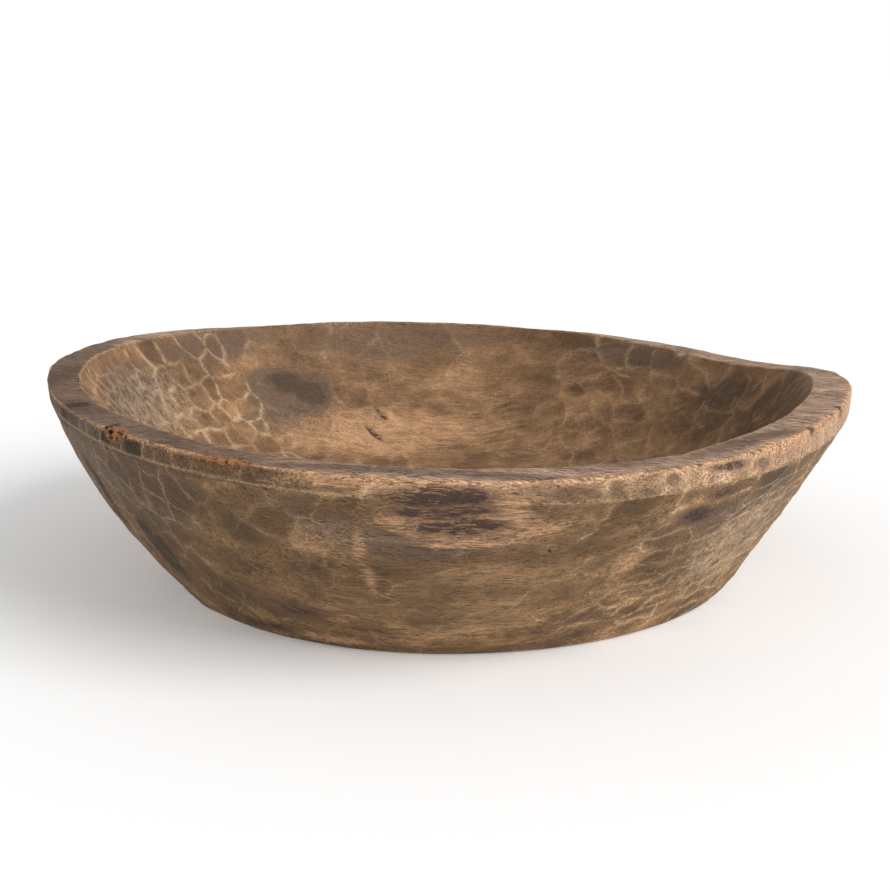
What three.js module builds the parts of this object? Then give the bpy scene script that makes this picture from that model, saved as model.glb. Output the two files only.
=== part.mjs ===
// A broad, shallow bowl carved from one block of wood.
//
// The outside is a flat base, a side that leans outwards with a slight belly, and a narrow upright band
// below the rim. The top of the rim is a level strip, which tips outwards at the back, and the hollow has
// a straight side that turns into a gently dished floor. The bowl was shaped by eye, so the rim's outline
// and height, the base, the band and the belly all change slowly around it, and one side of the rim dips.
//
// Units are millimetres. +Z is up and the origin is at the centre of the flat base. Azimuths are in
// degrees about +Z, from +X, which is the direction of the wood's grain, towards +Y.
import * as THREE from 'three';

// Overall sizes, as averages around the bowl.
const RIM_DIAMETER = 420;        // across the rim's outer edge
const RIM_HEIGHT = 97.9;         // from the base up to the rim's outer edge
const BASE_DIAMETER = 293.5;       // across the flat base

// Rim and band.
const RIM_WIDTH = 18;            // level width of the strip on top of the rim
const RIM_STEP = 0.2;            // how much the inner edge stands above the outer one, all round
const RIM_TIP = 5.5;             // how much higher the inner edge stands at the back
const BAND_HEIGHT = 8.8;         // upright band below the outer edge
const BAND_INSET = 0.5;          // how far the band's lower edge lies inside its upper edge
const EDGE_ROUND = 1.2;          // worn corners of the rim

// Side, base and hollow.
const BELLY = 4.2;               // how far the side swells beyond a straight line, at half its height
const FOOT_ROUND = 2.5;          // worn corner of the base
const FLOOR_THICKNESS = 18;      // at the centre of the hollow
const FLOOR_DISH = 5;            // rise of the floor from its centre to the foot of the hollow's side
const SIDE_THICKNESS = 24;       // level thickness of the side at the floor's height
const HOLLOW_CORNER = 28;        // softness of the turn from the hollow's side to its floor

// Unevenness of the hand carving: the size of each slow wave, how many times it rises around the bowl,
// and the azimuth where it is highest.
const RIM_OVAL = { size: 5.1, lobes: 2, towards: 76 };
const RIM_THREE_SIDES = { size: 3.8, lobes: 3, towards: 29 };
const RIM_TILT = { size: 4.9, lobes: 1, towards: 235 };
const RIM_WARP = { size: 4.6, lobes: 2, towards: 3 };
const RIM_RIPPLE = { size: 1.3, lobes: 3, towards: 15 };
const RIM_WIDTH_CHANGE = { size: 2.1, lobes: 1, towards: 56 };
const BAND_CHANGE = { size: 2.5, lobes: 1, towards: -16 };
const BASE_OVAL = { size: 2.4, lobes: 2, towards: 75 };
const BASE_SHIFT = { size: 2.4, lobes: 1, towards: 0 };
const BELLY_CHANGE = { size: 2.7, lobes: 1, towards: 180 };

// Local features: how deep or high each one is, where it lies, and how far it spreads on either side.
const RIM_DIP = { size: 12.3, towards: 31, spread: 26 };
const RIM_TIP_PLACE = { towards: 96, spread: 40 };

// Fineness of the surface.
const SEGMENTS = 96;
const WALL_STEPS = 12;
const ROUND_STEPS = 2;
const HOLLOW_STEPS = 18;

/** A slow wave around the bowl. */
function wave({ size, lobes, towards }, azimuth) {
  return size * Math.cos(THREE.MathUtils.degToRad(lobes * (azimuth - towards)));
}

/** A smooth local swell: 1 at its own azimuth, fading to 0 on either side. */
function swell({ towards, spread }, azimuth) {
  const away = THREE.MathUtils.euclideanModulo(azimuth - towards + 180, 360) - 180;
  return Math.exp(-((away / spread) ** 2));
}

/** The sizes of the bowl's section at one azimuth. */
function sizesAt(azimuth) {
  const rimRadius = RIM_DIAMETER / 2 + wave(RIM_OVAL, azimuth) + wave(RIM_THREE_SIDES, azimuth);
  const rimHeight = RIM_HEIGHT + wave(RIM_TILT, azimuth) + wave(RIM_WARP, azimuth)
    + wave(RIM_RIPPLE, azimuth) - RIM_DIP.size * swell(RIM_DIP, azimuth);
  const innerRadius = rimRadius - RIM_WIDTH - wave(RIM_WIDTH_CHANGE, azimuth);
  const innerHeight = rimHeight + RIM_STEP + RIM_TIP * swell(RIM_TIP_PLACE, azimuth);
  const baseRadius = BASE_DIAMETER / 2 + wave(BASE_OVAL, azimuth) + wave(BASE_SHIFT, azimuth);
  return {
    rim: new THREE.Vector2(rimRadius, rimHeight),
    inner: new THREE.Vector2(innerRadius, innerHeight),
    band: new THREE.Vector2(rimRadius - BAND_INSET, rimHeight - BAND_HEIGHT - wave(BAND_CHANGE, azimuth)),
    base: new THREE.Vector2(baseRadius, 0),
    belly: BELLY + wave(BELLY_CHANGE, azimuth),
  };
}

/** The outside of the leaning side, from the base at share 0 to the band at share 1. */
function wallPoint(sizes, share) {
  const point = sizes.base.clone().lerp(sizes.band, share);
  point.x += sizes.belly * 4 * share * (1 - share);
  return point;
}

/** A corner rounded off by a curve that starts and ends the given distance from it. */
function roundedCorner(before, corner, after, size) {
  const start = corner.clone().add(before.clone().sub(corner).setLength(size));
  const end = corner.clone().add(after.clone().sub(corner).setLength(size));
  return new THREE.QuadraticBezierCurve(start, corner, end).getPoints(ROUND_STEPS);
}

/**
 * The hollow's height at a radius: the higher of the side and the floor, with a soft turn between them.
 * The softness fades towards the centre, so that the floor there has its own thickness.
 */
function hollowHeight(sizes, radius) {
  const foot = wallPoint(sizes, FLOOR_THICKNESS / sizes.band.y).x - SIDE_THICKNESS;
  const floorAt = (distance) => FLOOR_THICKNESS + FLOOR_DISH * (distance / foot) ** 2;
  const softnessAt = (distance) => HOLLOW_CORNER * (distance / foot);
  const rise = sizes.inner.y - floorAt(sizes.inner.x);
  const top = sizes.inner.y - softnessAt(sizes.inner.x) ** 2 / (4 * rise);
  const slope = (top - floorAt(foot)) / (sizes.inner.x - foot);
  const side = floorAt(foot) + slope * (radius - foot);
  const floor = floorAt(radius);
  return (side + floor + Math.hypot(side - floor, softnessAt(radius))) / 2;
}

/** The section's outline at one azimuth, from the centre of the base round to the centre of the floor. */
function sectionAt(azimuth) {
  const sizes = sizesAt(azimuth);
  const { rim, inner, band, base } = sizes;
  const outline = [new THREE.Vector2(0, 0)];
  outline.push(...roundedCorner(outline[0], base, wallPoint(sizes, 1 / WALL_STEPS), FOOT_ROUND));
  for (let step = 1; step < WALL_STEPS; step += 1) {
    outline.push(wallPoint(sizes, step / WALL_STEPS));
  }
  outline.push(band);
  outline.push(...roundedCorner(band, rim, inner, EDGE_ROUND));
  const hollow = [];
  for (let step = 1; step <= HOLLOW_STEPS; step += 1) {
    const radius = inner.x * (1 - (step / HOLLOW_STEPS) ** 1.4);
    hollow.push(new THREE.Vector2(radius, hollowHeight(sizes, radius)));
  }
  outline.push(...roundedCorner(rim, inner, hollow[0], EDGE_ROUND));
  outline.push(...hollow);
  return outline;
}

/** The whole bowl: a turned shape whose sections are then moved to their own uneven sizes. */
function bowlGeometry() {
  const turned = sectionAt(0);
  const geometry = new THREE.LatheGeometry(turned, SEGMENTS);
  const position = geometry.attributes.position;
  for (let segment = 0; segment <= SEGMENTS; segment += 1) {
    const azimuth = (360 / SEGMENTS) * (segment % SEGMENTS);
    const angle = THREE.MathUtils.degToRad(azimuth);
    sectionAt(azimuth).forEach((point, place) => {
      const index = segment * turned.length + place;
      position.setXYZ(index, point.x * Math.cos(angle), point.x * Math.sin(angle), point.y);
    });
  }
  geometry.computeVertexNormals();
  return geometry;
}

const wood = new THREE.MeshStandardMaterial({ color: 0x8a6a4c, roughness: 0.72, metalness: 0 });

const bowl = new THREE.Mesh(bowlGeometry(), wood);
bowl.name = 'bowl';

const model = new THREE.Group();
model.add(bowl);

export default model;
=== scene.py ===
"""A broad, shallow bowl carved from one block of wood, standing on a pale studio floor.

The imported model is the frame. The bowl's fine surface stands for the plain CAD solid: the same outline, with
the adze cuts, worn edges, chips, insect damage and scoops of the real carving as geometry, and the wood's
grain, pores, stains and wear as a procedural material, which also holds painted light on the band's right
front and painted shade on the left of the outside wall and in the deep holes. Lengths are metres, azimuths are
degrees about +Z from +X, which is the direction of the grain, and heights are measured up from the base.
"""

from __future__ import annotations

import logging
import math
from dataclasses import dataclass, field
from enum import Enum

import bpy
import numpy as np
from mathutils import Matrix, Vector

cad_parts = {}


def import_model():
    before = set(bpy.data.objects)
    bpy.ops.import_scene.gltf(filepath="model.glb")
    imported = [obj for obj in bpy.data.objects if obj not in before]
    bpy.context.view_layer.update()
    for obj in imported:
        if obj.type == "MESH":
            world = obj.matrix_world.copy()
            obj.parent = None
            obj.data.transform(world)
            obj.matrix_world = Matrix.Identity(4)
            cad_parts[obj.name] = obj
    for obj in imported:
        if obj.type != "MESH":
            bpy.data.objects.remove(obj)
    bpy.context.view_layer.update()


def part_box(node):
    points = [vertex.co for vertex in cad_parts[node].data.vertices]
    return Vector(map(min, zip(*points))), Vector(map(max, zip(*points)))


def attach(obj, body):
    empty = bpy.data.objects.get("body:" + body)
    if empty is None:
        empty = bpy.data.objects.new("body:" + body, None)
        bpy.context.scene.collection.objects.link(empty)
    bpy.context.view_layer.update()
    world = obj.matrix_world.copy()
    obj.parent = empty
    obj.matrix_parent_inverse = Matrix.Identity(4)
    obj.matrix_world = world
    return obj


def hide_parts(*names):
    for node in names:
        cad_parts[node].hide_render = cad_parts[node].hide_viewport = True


Array = np.ndarray
Colour = tuple[float, float, float]
Socket = bpy.types.NodeSocket

MM = 0.001
FULL_TURN = 360.0
log = logging.getLogger("bowl")


def srgb(red: int, green: int, blue: int) -> Colour:
    """Turns a screen colour into linear light.

    Args:
        red: Red, 0 to 255.
        green: Green, 0 to 255.
        blue: Blue, 0 to 255.

    Returns:
        The linear colour.
    """
    parts = (red / 255.0, green / 255.0, blue / 255.0)
    return tuple(p / 12.92 if p <= 0.04045 else ((p + 0.055) / 1.055) ** 2.4 for p in parts)


def fade(value: Array, start: float, end: float) -> Array:
    """Rises smoothly from 0 at start to 1 at end, as 3x squared less 2x cubed.

    Args:
        value: The values to read.
        start: Where the result is 0.
        end: Where the result is 1.

    Returns:
        The faded values.
    """
    share = np.clip((value - start) / (end - start), 0.0, 1.0)
    return share * share * (3.0 - 2.0 * share)


def turn_between(azimuth: Array, towards: float) -> Array:
    """Returns the signed angle from towards to azimuth, between -180 and 180 degrees."""
    return (azimuth - towards + 180.0) % FULL_TURN - 180.0


# --------------------------------------------------------------------------------------------------
# The bowl's outline
# --------------------------------------------------------------------------------------------------


class Face(Enum):
    """The faces of the outline, in order from the centre of the base to the centre of the floor."""

    UNDERSIDE = 0
    FOOT = 1
    WALL = 2
    BAND = 3
    OUTER_EDGE = 4
    RIM = 5
    INNER_EDGE = 6
    HOLLOW = 7


@dataclass(frozen=True)
class Wave:
    """A slow change around the bowl: its size, how often it rises, and the azimuth where it is highest."""

    size: float
    lobes: int
    towards: float

    def at(self, azimuth: Array) -> Array:
        """Returns size times the cosine of lobes times the angle from towards."""
        return self.size * np.cos(np.radians(self.lobes * (azimuth - self.towards)))


@dataclass(frozen=True)
class Swell:
    """A local rise: its size, its azimuth, and how far it spreads on either side."""

    size: float
    towards: float
    spread: float

    def at(self, azimuth: Array) -> Array:
        """Returns size times e to the minus square of the angle over the spread."""
        return self.size * np.exp(-((turn_between(azimuth, self.towards) / self.spread) ** 2))


@dataclass(frozen=True)
class Lumps:
    """Smooth unevenness, made of seeded plane waves between two lengths."""

    seed: int
    shortest: float
    longest: float
    count: int = 28

    def at(self, points: Array) -> Array:
        """Adds up cosines of the distance along seeded directions, each with its own length and phase.

        Args:
            points: Places, with x, y and z in the last axis.

        Returns:
            The height at each place, with a spread of about 1.
        """
        rng = np.random.default_rng(self.seed)
        direction = rng.normal(size=(self.count, 3))
        direction /= np.linalg.norm(direction, axis=1, keepdims=True)
        length = np.exp(rng.uniform(np.log(self.shortest), np.log(self.longest), self.count))
        phase = rng.uniform(0.0, 2.0 * np.pi, self.count)
        angle = points @ (direction * (2.0 * np.pi / length)[:, None]).T + phase
        return np.cos(angle).sum(axis=-1) * math.sqrt(2.0 / self.count)


@dataclass(frozen=True)
class Waver:
    """A sideways wander, which makes straight boundaries crooked."""

    seed: int
    reach: float
    shortest: float
    longest: float

    def at(self, points: Array) -> Array:
        """Moves each point by three separate sets of lumps, one for each axis."""
        lumps = [Lumps(self.seed + axis, self.shortest, self.longest) for axis in range(3)]
        return points + self.reach * np.stack([lump.at(points) for lump in lumps], axis=-1)


@dataclass
class Section:
    """The sizes of the outline at each azimuth: radius and height pairs, and the worn corners."""

    rim: Array
    inner: Array
    band: Array
    base: Array
    belly: Array
    outer_round: Array
    inner_round: Array


def blend(start: Array, end: Array, share: Array) -> Array:
    """Returns the point a share of the way from start to end, with the pair in the last axis."""
    return start + (end - start) * share[..., None]


def towards_by(corner: Array, other: Array, distance: Array) -> Array:
    """Returns the point a distance from corner towards other."""
    step = other - corner
    return corner + step / np.linalg.norm(step, axis=-1, keepdims=True) * distance[..., None]


def rounded(before: Array, corner: Array, after: Array, size: Array, share: Array) -> Array:
    """Rounds a corner by a quadratic curve that starts and ends the given size from it.

    Args:
        before: A point on the side that leads to the corner.
        corner: The sharp corner.
        after: A point on the side that leaves it.
        size: How far from the corner the curve starts and ends.
        share: How far along the curve the wanted point is.

    Returns:
        The points on the curve.
    """
    first = blend(towards_by(corner, before, size), corner, share)
    second = blend(corner, towards_by(corner, after, size), share)
    return blend(first, second, share)


@dataclass
class BowlShape:
    """The bowl's own sizes, which are those of the CAD solid, and the outline that they give."""

    rim_diameter: float = 420 * MM
    rim_height: float = 97.9 * MM
    base_diameter: float = 293.5 * MM
    rim_width: float = 18.1 * MM
    rim_step: float = 0.2 * MM
    band_height: float = 8.8 * MM
    band_inset: float = 0.5 * MM
    belly: float = 4.2 * MM
    foot_round: float = 2.5 * MM
    floor_thickness: float = 18 * MM
    floor_dish: float = 5 * MM
    side_thickness: float = 24 * MM
    hollow_corner: float = 28 * MM
    edge_round: float = 1.5 * MM
    edge_wear: float = 0.9 * MM
    rim_waves: tuple[Wave, ...] = (Wave(5.1 * MM, 2, 76), Wave(3.8 * MM, 3, 29))
    height_waves: tuple[Wave, ...] = (Wave(4.9 * MM, 1, 235), Wave(4.6 * MM, 2, 3), Wave(1.3 * MM, 3, 15))
    rim_dip: Swell = Swell(12.3 * MM, 31, 26)
    rim_tip: Swell = Swell(5.5 * MM, 96, 40)
    width_change: Wave = Wave(2.1 * MM, 1, 56)
    band_change: Wave = Wave(2.5 * MM, 1, -16)
    base_waves: tuple[Wave, ...] = (Wave(2.4 * MM, 2, 75), Wave(2.4 * MM, 1, 0))
    belly_change: Wave = Wave(2.7 * MM, 1, 180)
    # Painted light: how far the band takes its pale colours, highest at the right front where the key light falls.
    painted_light_band: Swell = Swell(1.0, -25, 58)
    front_lip: Swell = Swell(1.3 * MM, -86, 28)
    worn_end: Swell = Swell(1.6 * MM, 2, 26)
    wobble: Lumps = Lumps(3, 14 * MM, 60 * MM)
    stretch: Array = field(default_factory=lambda: np.ones(3))

    def section(self, azimuth: Array) -> Section:
        """Works out the outline's corners at each azimuth.

        Args:
            azimuth: Azimuths in degrees.

        Returns:
            The corners and the worn roundings there.
        """
        rim_r = self.rim_diameter / 2 + sum(w.at(azimuth) for w in self.rim_waves)
        rim_z = self.rim_height + sum(w.at(azimuth) for w in self.height_waves) - self.rim_dip.at(azimuth)
        inner_r = rim_r - self.rim_width - self.width_change.at(azimuth)
        inner_z = rim_z + self.rim_step + self.rim_tip.at(azimuth) + self.front_lip.at(azimuth)
        band_z = rim_z - self.band_height - self.band_change.at(azimuth)
        base_r = self.base_diameter / 2 + sum(w.at(azimuth) for w in self.base_waves)
        around = np.radians(azimuth)
        ring = np.stack((np.cos(around), np.sin(around), 0 * around), axis=-1) * self.rim_diameter / 2
        wear = self.edge_round + self.edge_wear * np.tanh(self.wobble.at(ring)) + self.worn_end.at(azimuth)
        return Section(
            rim=np.stack((rim_r, rim_z), axis=-1),
            inner=np.stack((inner_r, inner_z), axis=-1),
            band=np.stack((rim_r - self.band_inset, band_z), axis=-1),
            base=np.stack((base_r, 0 * base_r), axis=-1),
            belly=self.belly + self.belly_change.at(azimuth),
            outer_round=wear,
            inner_round=0.45 * (wear - self.worn_end.at(azimuth)),
        )

    def wall_at(self, cut: Section, share: Array) -> Array:
        """Returns the leaning side: a straight line from base to band, plus the belly as a parabola."""
        point = blend(cut.base, cut.band, share)
        point[..., 0] += cut.belly * 4.0 * share * (1.0 - share)
        return point

    def hollow_height(self, cut: Section, radius: Array) -> Array:
        """Works out the hollow's height: the higher of its side and its floor, with a soft turn between.

        The side is a straight line to the rim's inner edge, the floor is a parabola, and the softness grows
        from nothing at the centre. The height is half of side plus floor plus the square root of their
        difference squared plus the softness squared.

        Args:
            cut: The section's corners.
            radius: Distances from the bowl's axis.

        Returns:
            The heights.
        """
        foot = self.wall_at(cut, self.floor_thickness / cut.band[..., 1])[..., 0] - self.side_thickness
        inner_r, inner_z = cut.inner[..., 0], cut.inner[..., 1]
        rim_floor = self.floor_thickness + self.floor_dish * (inner_r / foot) ** 2
        soft = self.hollow_corner * inner_r / foot
        top = inner_z - soft**2 / (4.0 * (inner_z - rim_floor))
        low = self.floor_thickness + self.floor_dish
        side = low + (top - low) / (inner_r - foot) * (radius - foot)
        floor = self.floor_thickness + self.floor_dish * (radius / foot) ** 2
        return (side + floor + np.hypot(side - floor, self.hollow_corner * radius / foot)) / 2.0

    def hollow_radius(self, share: Array) -> Array:
        """Turns a share of the way down the hollow into a share of its radius, in even steps of length."""
        section = self.section(np.array(-90.0))
        radius = np.linspace(1.0, 0.0, 400) * section.inner[0]
        height = self.hollow_height(section, radius)
        steps = np.hypot(np.diff(radius), np.diff(height))
        walked = np.concatenate(([0.0], np.cumsum(steps)))
        return np.interp(share, walked / walked[-1], radius / section.inner[0])

    def outline(self, face: Face, share: Array, azimuth: Array) -> Array:
        """Works out radius and height on one face of the outline.

        Args:
            face: Which face.
            share: How far along the face, from 0 to 1.
            azimuth: Azimuths in degrees, of the same shape as share.

        Returns:
            Radius and height, in the last axis.
        """
        cut = self.section(azimuth)
        foot_start = towards_by(cut.base, 0 * cut.base, self.foot_round + 0 * share)
        up_wall = self.wall_at(cut, 0.05 + 0 * share)
        if face is Face.UNDERSIDE:
            return blend(0 * foot_start, foot_start, share)
        if face is Face.FOOT:
            return rounded(0 * cut.base, cut.base, up_wall, self.foot_round + 0 * share, share)
        if face is Face.WALL:
            start = self.foot_round / np.linalg.norm(cut.band - cut.base, axis=-1)
            return self.wall_at(cut, start + (1.0 - start) * share)
        if face is Face.BAND:
            return blend(cut.band, towards_by(cut.rim, cut.band, cut.outer_round), share)
        if face is Face.OUTER_EDGE:
            return rounded(cut.band, cut.rim, cut.inner, cut.outer_round, share)
        if face is Face.RIM:
            start = towards_by(cut.rim, cut.inner, cut.outer_round)
            return blend(start, towards_by(cut.inner, cut.rim, cut.inner_round), share)
        edge_r = cut.inner[..., 0] - cut.inner_round
        edge = np.stack((edge_r, self.hollow_height(cut, edge_r)), axis=-1)
        if face is Face.INNER_EDGE:
            top = towards_by(cut.inner, cut.rim, cut.inner_round)
            return blend(blend(top, cut.inner, share), blend(cut.inner, edge, share), share)
        radius = edge_r * self.hollow_radius(share)
        return np.stack((radius, self.hollow_height(cut, radius)), axis=-1)

    def points(self, face: Face, share: Array, azimuth: Array) -> Array:
        """Returns places on a face: its radius turned to the azimuth, and its height."""
        share, azimuth = np.broadcast_arrays(np.asarray(share, float), np.asarray(azimuth, float))
        flat = self.outline(face, share, azimuth)
        around = np.radians(azimuth)
        radius = flat[..., 0]
        place = np.stack((radius * np.cos(around), radius * np.sin(around), flat[..., 1]), axis=-1)
        return place * self.stretch

    def share_at_height(self, face: Face, azimuth: float, height: float) -> float:
        """Finds how far along the wall or the hollow a height lies."""
        share = np.linspace(0.0, 1.0, 300)
        heights = self.points(face, share, azimuth + 0 * share)[..., 2]
        order = np.argsort(heights)
        return float(np.interp(height, heights[order], share[order]))

    def fit_to(self, low: Array, high: Array) -> None:
        """Scales the shape along each axis so that its extents are those of the CAD solid.

        Args:
            low: The CAD box's lowest corner.
            high: The CAD box's highest corner.
        """
        azimuth = np.linspace(0.0, FULL_TURN, 1440)
        cut = self.section(azimuth)
        around = np.radians(azimuth)
        rim_x, rim_y = cut.rim[:, 0] * np.cos(around), cut.rim[:, 0] * np.sin(around)
        own = np.array((np.ptp(rim_x), np.ptp(rim_y), max(cut.rim[:, 1].max(), cut.inner[:, 1].max())))
        self.stretch = (np.asarray(high) - np.asarray(low)) / own
        log.info("outline stretched by %s to the CAD box", np.round(self.stretch, 4))


# --------------------------------------------------------------------------------------------------
# Tool cuts
# --------------------------------------------------------------------------------------------------


@dataclass
class Frames:
    """Places on the surface, each with its direction along the ring and its direction along the outline."""

    centre: Array
    along: Array
    across: Array


def frames_on(shape: BowlShape, face: Face, share: Array, azimuth: Array) -> Frames:
    """Sets up local directions on a face, from small steps along it and around it.

    Args:
        shape: The bowl's shape.
        face: The face.
        share: How far along the face each place is.
        azimuth: Each place's azimuth.

    Returns:
        The places and their two unit directions.
    """
    step_share, step_turn = 0.004, 0.4
    centre = shape.points(face, share, azimuth)
    along = shape.points(face, share, azimuth + step_turn) - shape.points(face, share, azimuth - step_turn)
    across = shape.points(face, share + step_share, azimuth) - shape.points(face, share - step_share, azimuth)
    along /= np.linalg.norm(along, axis=-1, keepdims=True)
    across /= np.linalg.norm(across, axis=-1, keepdims=True)
    return Frames(centre, along, across)


class Layout(Enum):
    """How the cuts of one stretch line up."""

    ROWS = "rows around the bowl"
    COLUMNS = "columns down the face"


@dataclass(frozen=True)
class CutField:
    """A stretch of tool cuts on one face.

    The stretch runs from start to end in azimuth and from low to high as shares of the face. Each cut is
    length along the ring, height along the outline and depth deep, and lean turns it on the surface.
    Wear says how far its ridges are rubbed pale.
    """

    face: Face
    start: float
    end: float
    low: float
    high: float
    length: float
    height: float
    depth: float
    layout: Layout = Layout.ROWS
    scatter: float = 0.22
    lean: float = 0.0
    wear: float = 0.5

    def centres(self, shape: BowlShape, rng: np.random.Generator) -> tuple[Array, Array]:
        """Lays the cuts out in rows or in columns, each pushed a little out of line.

        Args:
            shape: The bowl's shape.
            rng: The seeded source of scatter.

        Returns:
            Shares of the face and azimuths.
        """
        middle = np.linspace(0.0, 1.0, 60) * (self.high - self.low) + self.low
        path = shape.points(self.face, middle, (self.start + self.end) / 2 + 0 * middle)
        depth_down = float(np.linalg.norm(np.diff(path, axis=0), axis=1).sum())
        rows = max(1, round(depth_down / self.height))
        row_share = self.low + (np.arange(rows) + 0.5) / rows * (self.high - self.low)
        radius = np.interp(row_share, middle, np.hypot(path[:, 0], path[:, 1]))
        arc = np.radians(self.end - self.start)
        if self.layout is Layout.COLUMNS:
            radius = np.full(rows, radius.mean())
        shares, azimuths = [], []
        for share, ring in zip(row_share, radius, strict=True):
            count = max(1, round(arc * ring / self.length))
            shift = rng.uniform(-0.5, 0.5) if self.layout is Layout.ROWS else 0.0
            azimuths.append(self.start + (np.arange(count) + 0.5 + shift) / count * (self.end - self.start))
            shares.append(np.full(count, share))
        share, azimuth = np.concatenate(shares), np.concatenate(azimuths)
        row_step = (self.high - self.low) / rows
        turn_step = np.degrees(self.length / np.interp(share, row_share, radius))
        loose, tight = self.scatter, self.scatter * 0.45
        down, around = (tight, loose) if self.layout is Layout.ROWS else (loose, tight)
        if self.layout is Layout.COLUMNS:
            column = np.round(azimuth / turn_step.mean()).astype(int)
            share = share + (column % 3 - 1) * 0.31 * row_step
        share = share + rng.normal(0.0, 1.0, share.size) * down * row_step
        azimuth = azimuth + rng.normal(0.0, 1.0, share.size) * around * turn_step
        return np.clip(share, self.low, self.high), azimuth


@dataclass
class Cuts:
    """Tool cuts as shallow dishes: each one's height above its lowest point is a paraboloid.

    At a point whose offset from the centre is a along the cut and b across it, the height is a squared over
    twice the bend along, plus b squared over twice the bend across, less the cut's extra drop. The wood
    that is left lies below every dish, so its surface is the lowest of them, with ridges where two meet.
    """

    frames: Frames
    bend_along: Array
    bend_across: Array
    drop: Array
    tone: Array
    wear: Array

    @staticmethod
    def carve(shape: BowlShape, fields: tuple[CutField, ...], seed: int) -> Cuts:
        """Makes the cuts of several stretches.

        Args:
            shape: The bowl's shape.
            fields: The stretches.
            seed: Seed of the scatter.

        Returns:
            All the cuts together.
        """
        rng = np.random.default_rng(seed)
        parts = []
        for f in fields:
            share, azimuth = f.centres(shape, rng)
            frames = frames_on(shape, f.face, share, azimuth)
            lean = np.radians(f.lean + rng.normal(0.0, 7.0, share.size))[:, None]
            along = frames.along * np.cos(lean) + frames.across * np.sin(lean)
            across = frames.across * np.cos(lean) - frames.along * np.sin(lean)
            size = np.exp(rng.normal(0.0, 0.12, share.size))
            depth = f.depth * size
            parts.append(
                (
                    frames.centre,
                    along,
                    across,
                    (f.length / 2) ** 2 / (2 * depth),
                    (f.height / 2) ** 2 / (2 * depth),
                    rng.uniform(0.0, 0.5, share.size) * depth,
                    rng.normal(0.0, 1.0, share.size),
                    np.full(share.size, f.wear),
                )
            )
        merged = [np.concatenate(group) for group in zip(*parts, strict=True)]
        return Cuts(Frames(*merged[:3]), *merged[3:])

    def offsets(self, points: Array, which: Array) -> tuple[Array, Array]:
        """Returns how far each point lies along and across its own cut."""
        step = points - self.frames.centre[which]
        along = (step * self.frames.along[which]).sum(axis=-1)
        return along, (step * self.frames.across[which]).sum(axis=-1)

    def height_of(self, points: Array, which: Array) -> Array:
        """Returns the height of one chosen cut at each point."""
        a, b = self.offsets(points, which)
        return a**2 / (2 * self.bend_along[which]) + b**2 / (2 * self.bend_across[which]) - self.drop[which]

    def slope_of(self, points: Array, which: Array) -> Array:
        """Returns the slope of one chosen cut at each point, as a vector."""
        a, b = self.offsets(points, which)
        along = self.frames.along[which] * (a / self.bend_along[which])[:, None]
        return along + self.frames.across[which] * (b / self.bend_across[which])[:, None]

    def lowest_two(self, points: Array) -> tuple[Array, Array]:
        """Finds the two cuts that lie lowest at each point, block by block.

        Args:
            points: Places on the surface.

        Returns:
            The lowest cut and the next one, as indices.
        """
        first = np.empty(len(points), int)
        second = np.empty(len(points), int)
        centre_along = (self.frames.centre * self.frames.along).sum(axis=1)
        centre_across = (self.frames.centre * self.frames.across).sum(axis=1)
        block = 12000
        for start in range(0, len(points), block):
            part = points[start : start + block]
            a = part @ self.frames.along.T - centre_along
            b = part @ self.frames.across.T - centre_across
            c = ((part[:, None, :] - self.frames.centre[None]) ** 2).sum(axis=-1)
            height = a**2 / (2 * self.bend_along) + b**2 / (2 * self.bend_across) - self.drop
            height = height + np.maximum(c - a**2 - b**2, 0.0) / 0.02
            rows = np.arange(len(part))
            low = height.argmin(axis=1)
            height[rows, low] = np.inf
            first[start : start + block] = low
            second[start : start + block] = height.argmin(axis=1)
        return first, second

    def surface(self, points: Array, softness: float) -> tuple[Array, Array]:
        """Works out the carved height: the lower of the two lowest cuts, with the ridge rounded off.

        The rounding is half of the sum of both heights less the square root of their difference squared
        plus the softness squared.

        Args:
            points: Places on the surface.
            softness: How far the ridges are rounded.

        Returns:
            The height at each point, and how pale its ridges are worn.
        """
        first, second = self.lowest_two(points)
        low, high = self.height_of(points, first), self.height_of(points, second)
        height = (low + high - np.sqrt((high - low) ** 2 + softness**2)) / 2
        return height, self.wear[first]

    def ridge_distance(self, centres: Array, corners: Array) -> tuple[Array, Array]:
        """Works out, for each triangle, its corners' signed distances from the nearest ridge.

        The distance is the difference of the two lowest cuts' heights over the length of the difference of
        their slopes. It is positive in the first cut and negative in the second one, so that the ridge is
        a straight line across the triangle.

        Args:
            centres: Each triangle's middle.
            corners: Each triangle's three corners.

        Returns:
            The distances, and the tones of the two cuts.
        """
        first, second = self.lowest_two(centres)
        steep = np.linalg.norm(self.slope_of(centres, first) - self.slope_of(centres, second), axis=1)
        gaps = [
            (self.height_of(corners[:, k], second) - self.height_of(corners[:, k], first)) / np.maximum(steep, 1e-4)
            for k in range(3)
        ]
        return np.stack(gaps, axis=1), np.stack((self.tone[first], self.tone[second]), axis=1)


# --------------------------------------------------------------------------------------------------
# Marks: stains, wear, scoops and chips at their own places
# --------------------------------------------------------------------------------------------------


class Mark(Enum):
    """What a patch does to the surface, and the place of its mask among the mesh's attributes."""

    PURPLE = ("stains", 0)
    OLIVE = ("stains", 1)
    GREY = ("stains", 2)
    ORANGE = ("wear", 0)
    PALE = ("wear", 1)
    CRUMBLE = ("wear", 2)
    # Brown stains, which on the left of the outside wall also stand in for painted shade.
    BROWN = ("marks", 0)
    MAUVE = ("marks", 1)
    # Near-black insides of holes, partly painted shade.
    HOLE = ("marks", 2)


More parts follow.
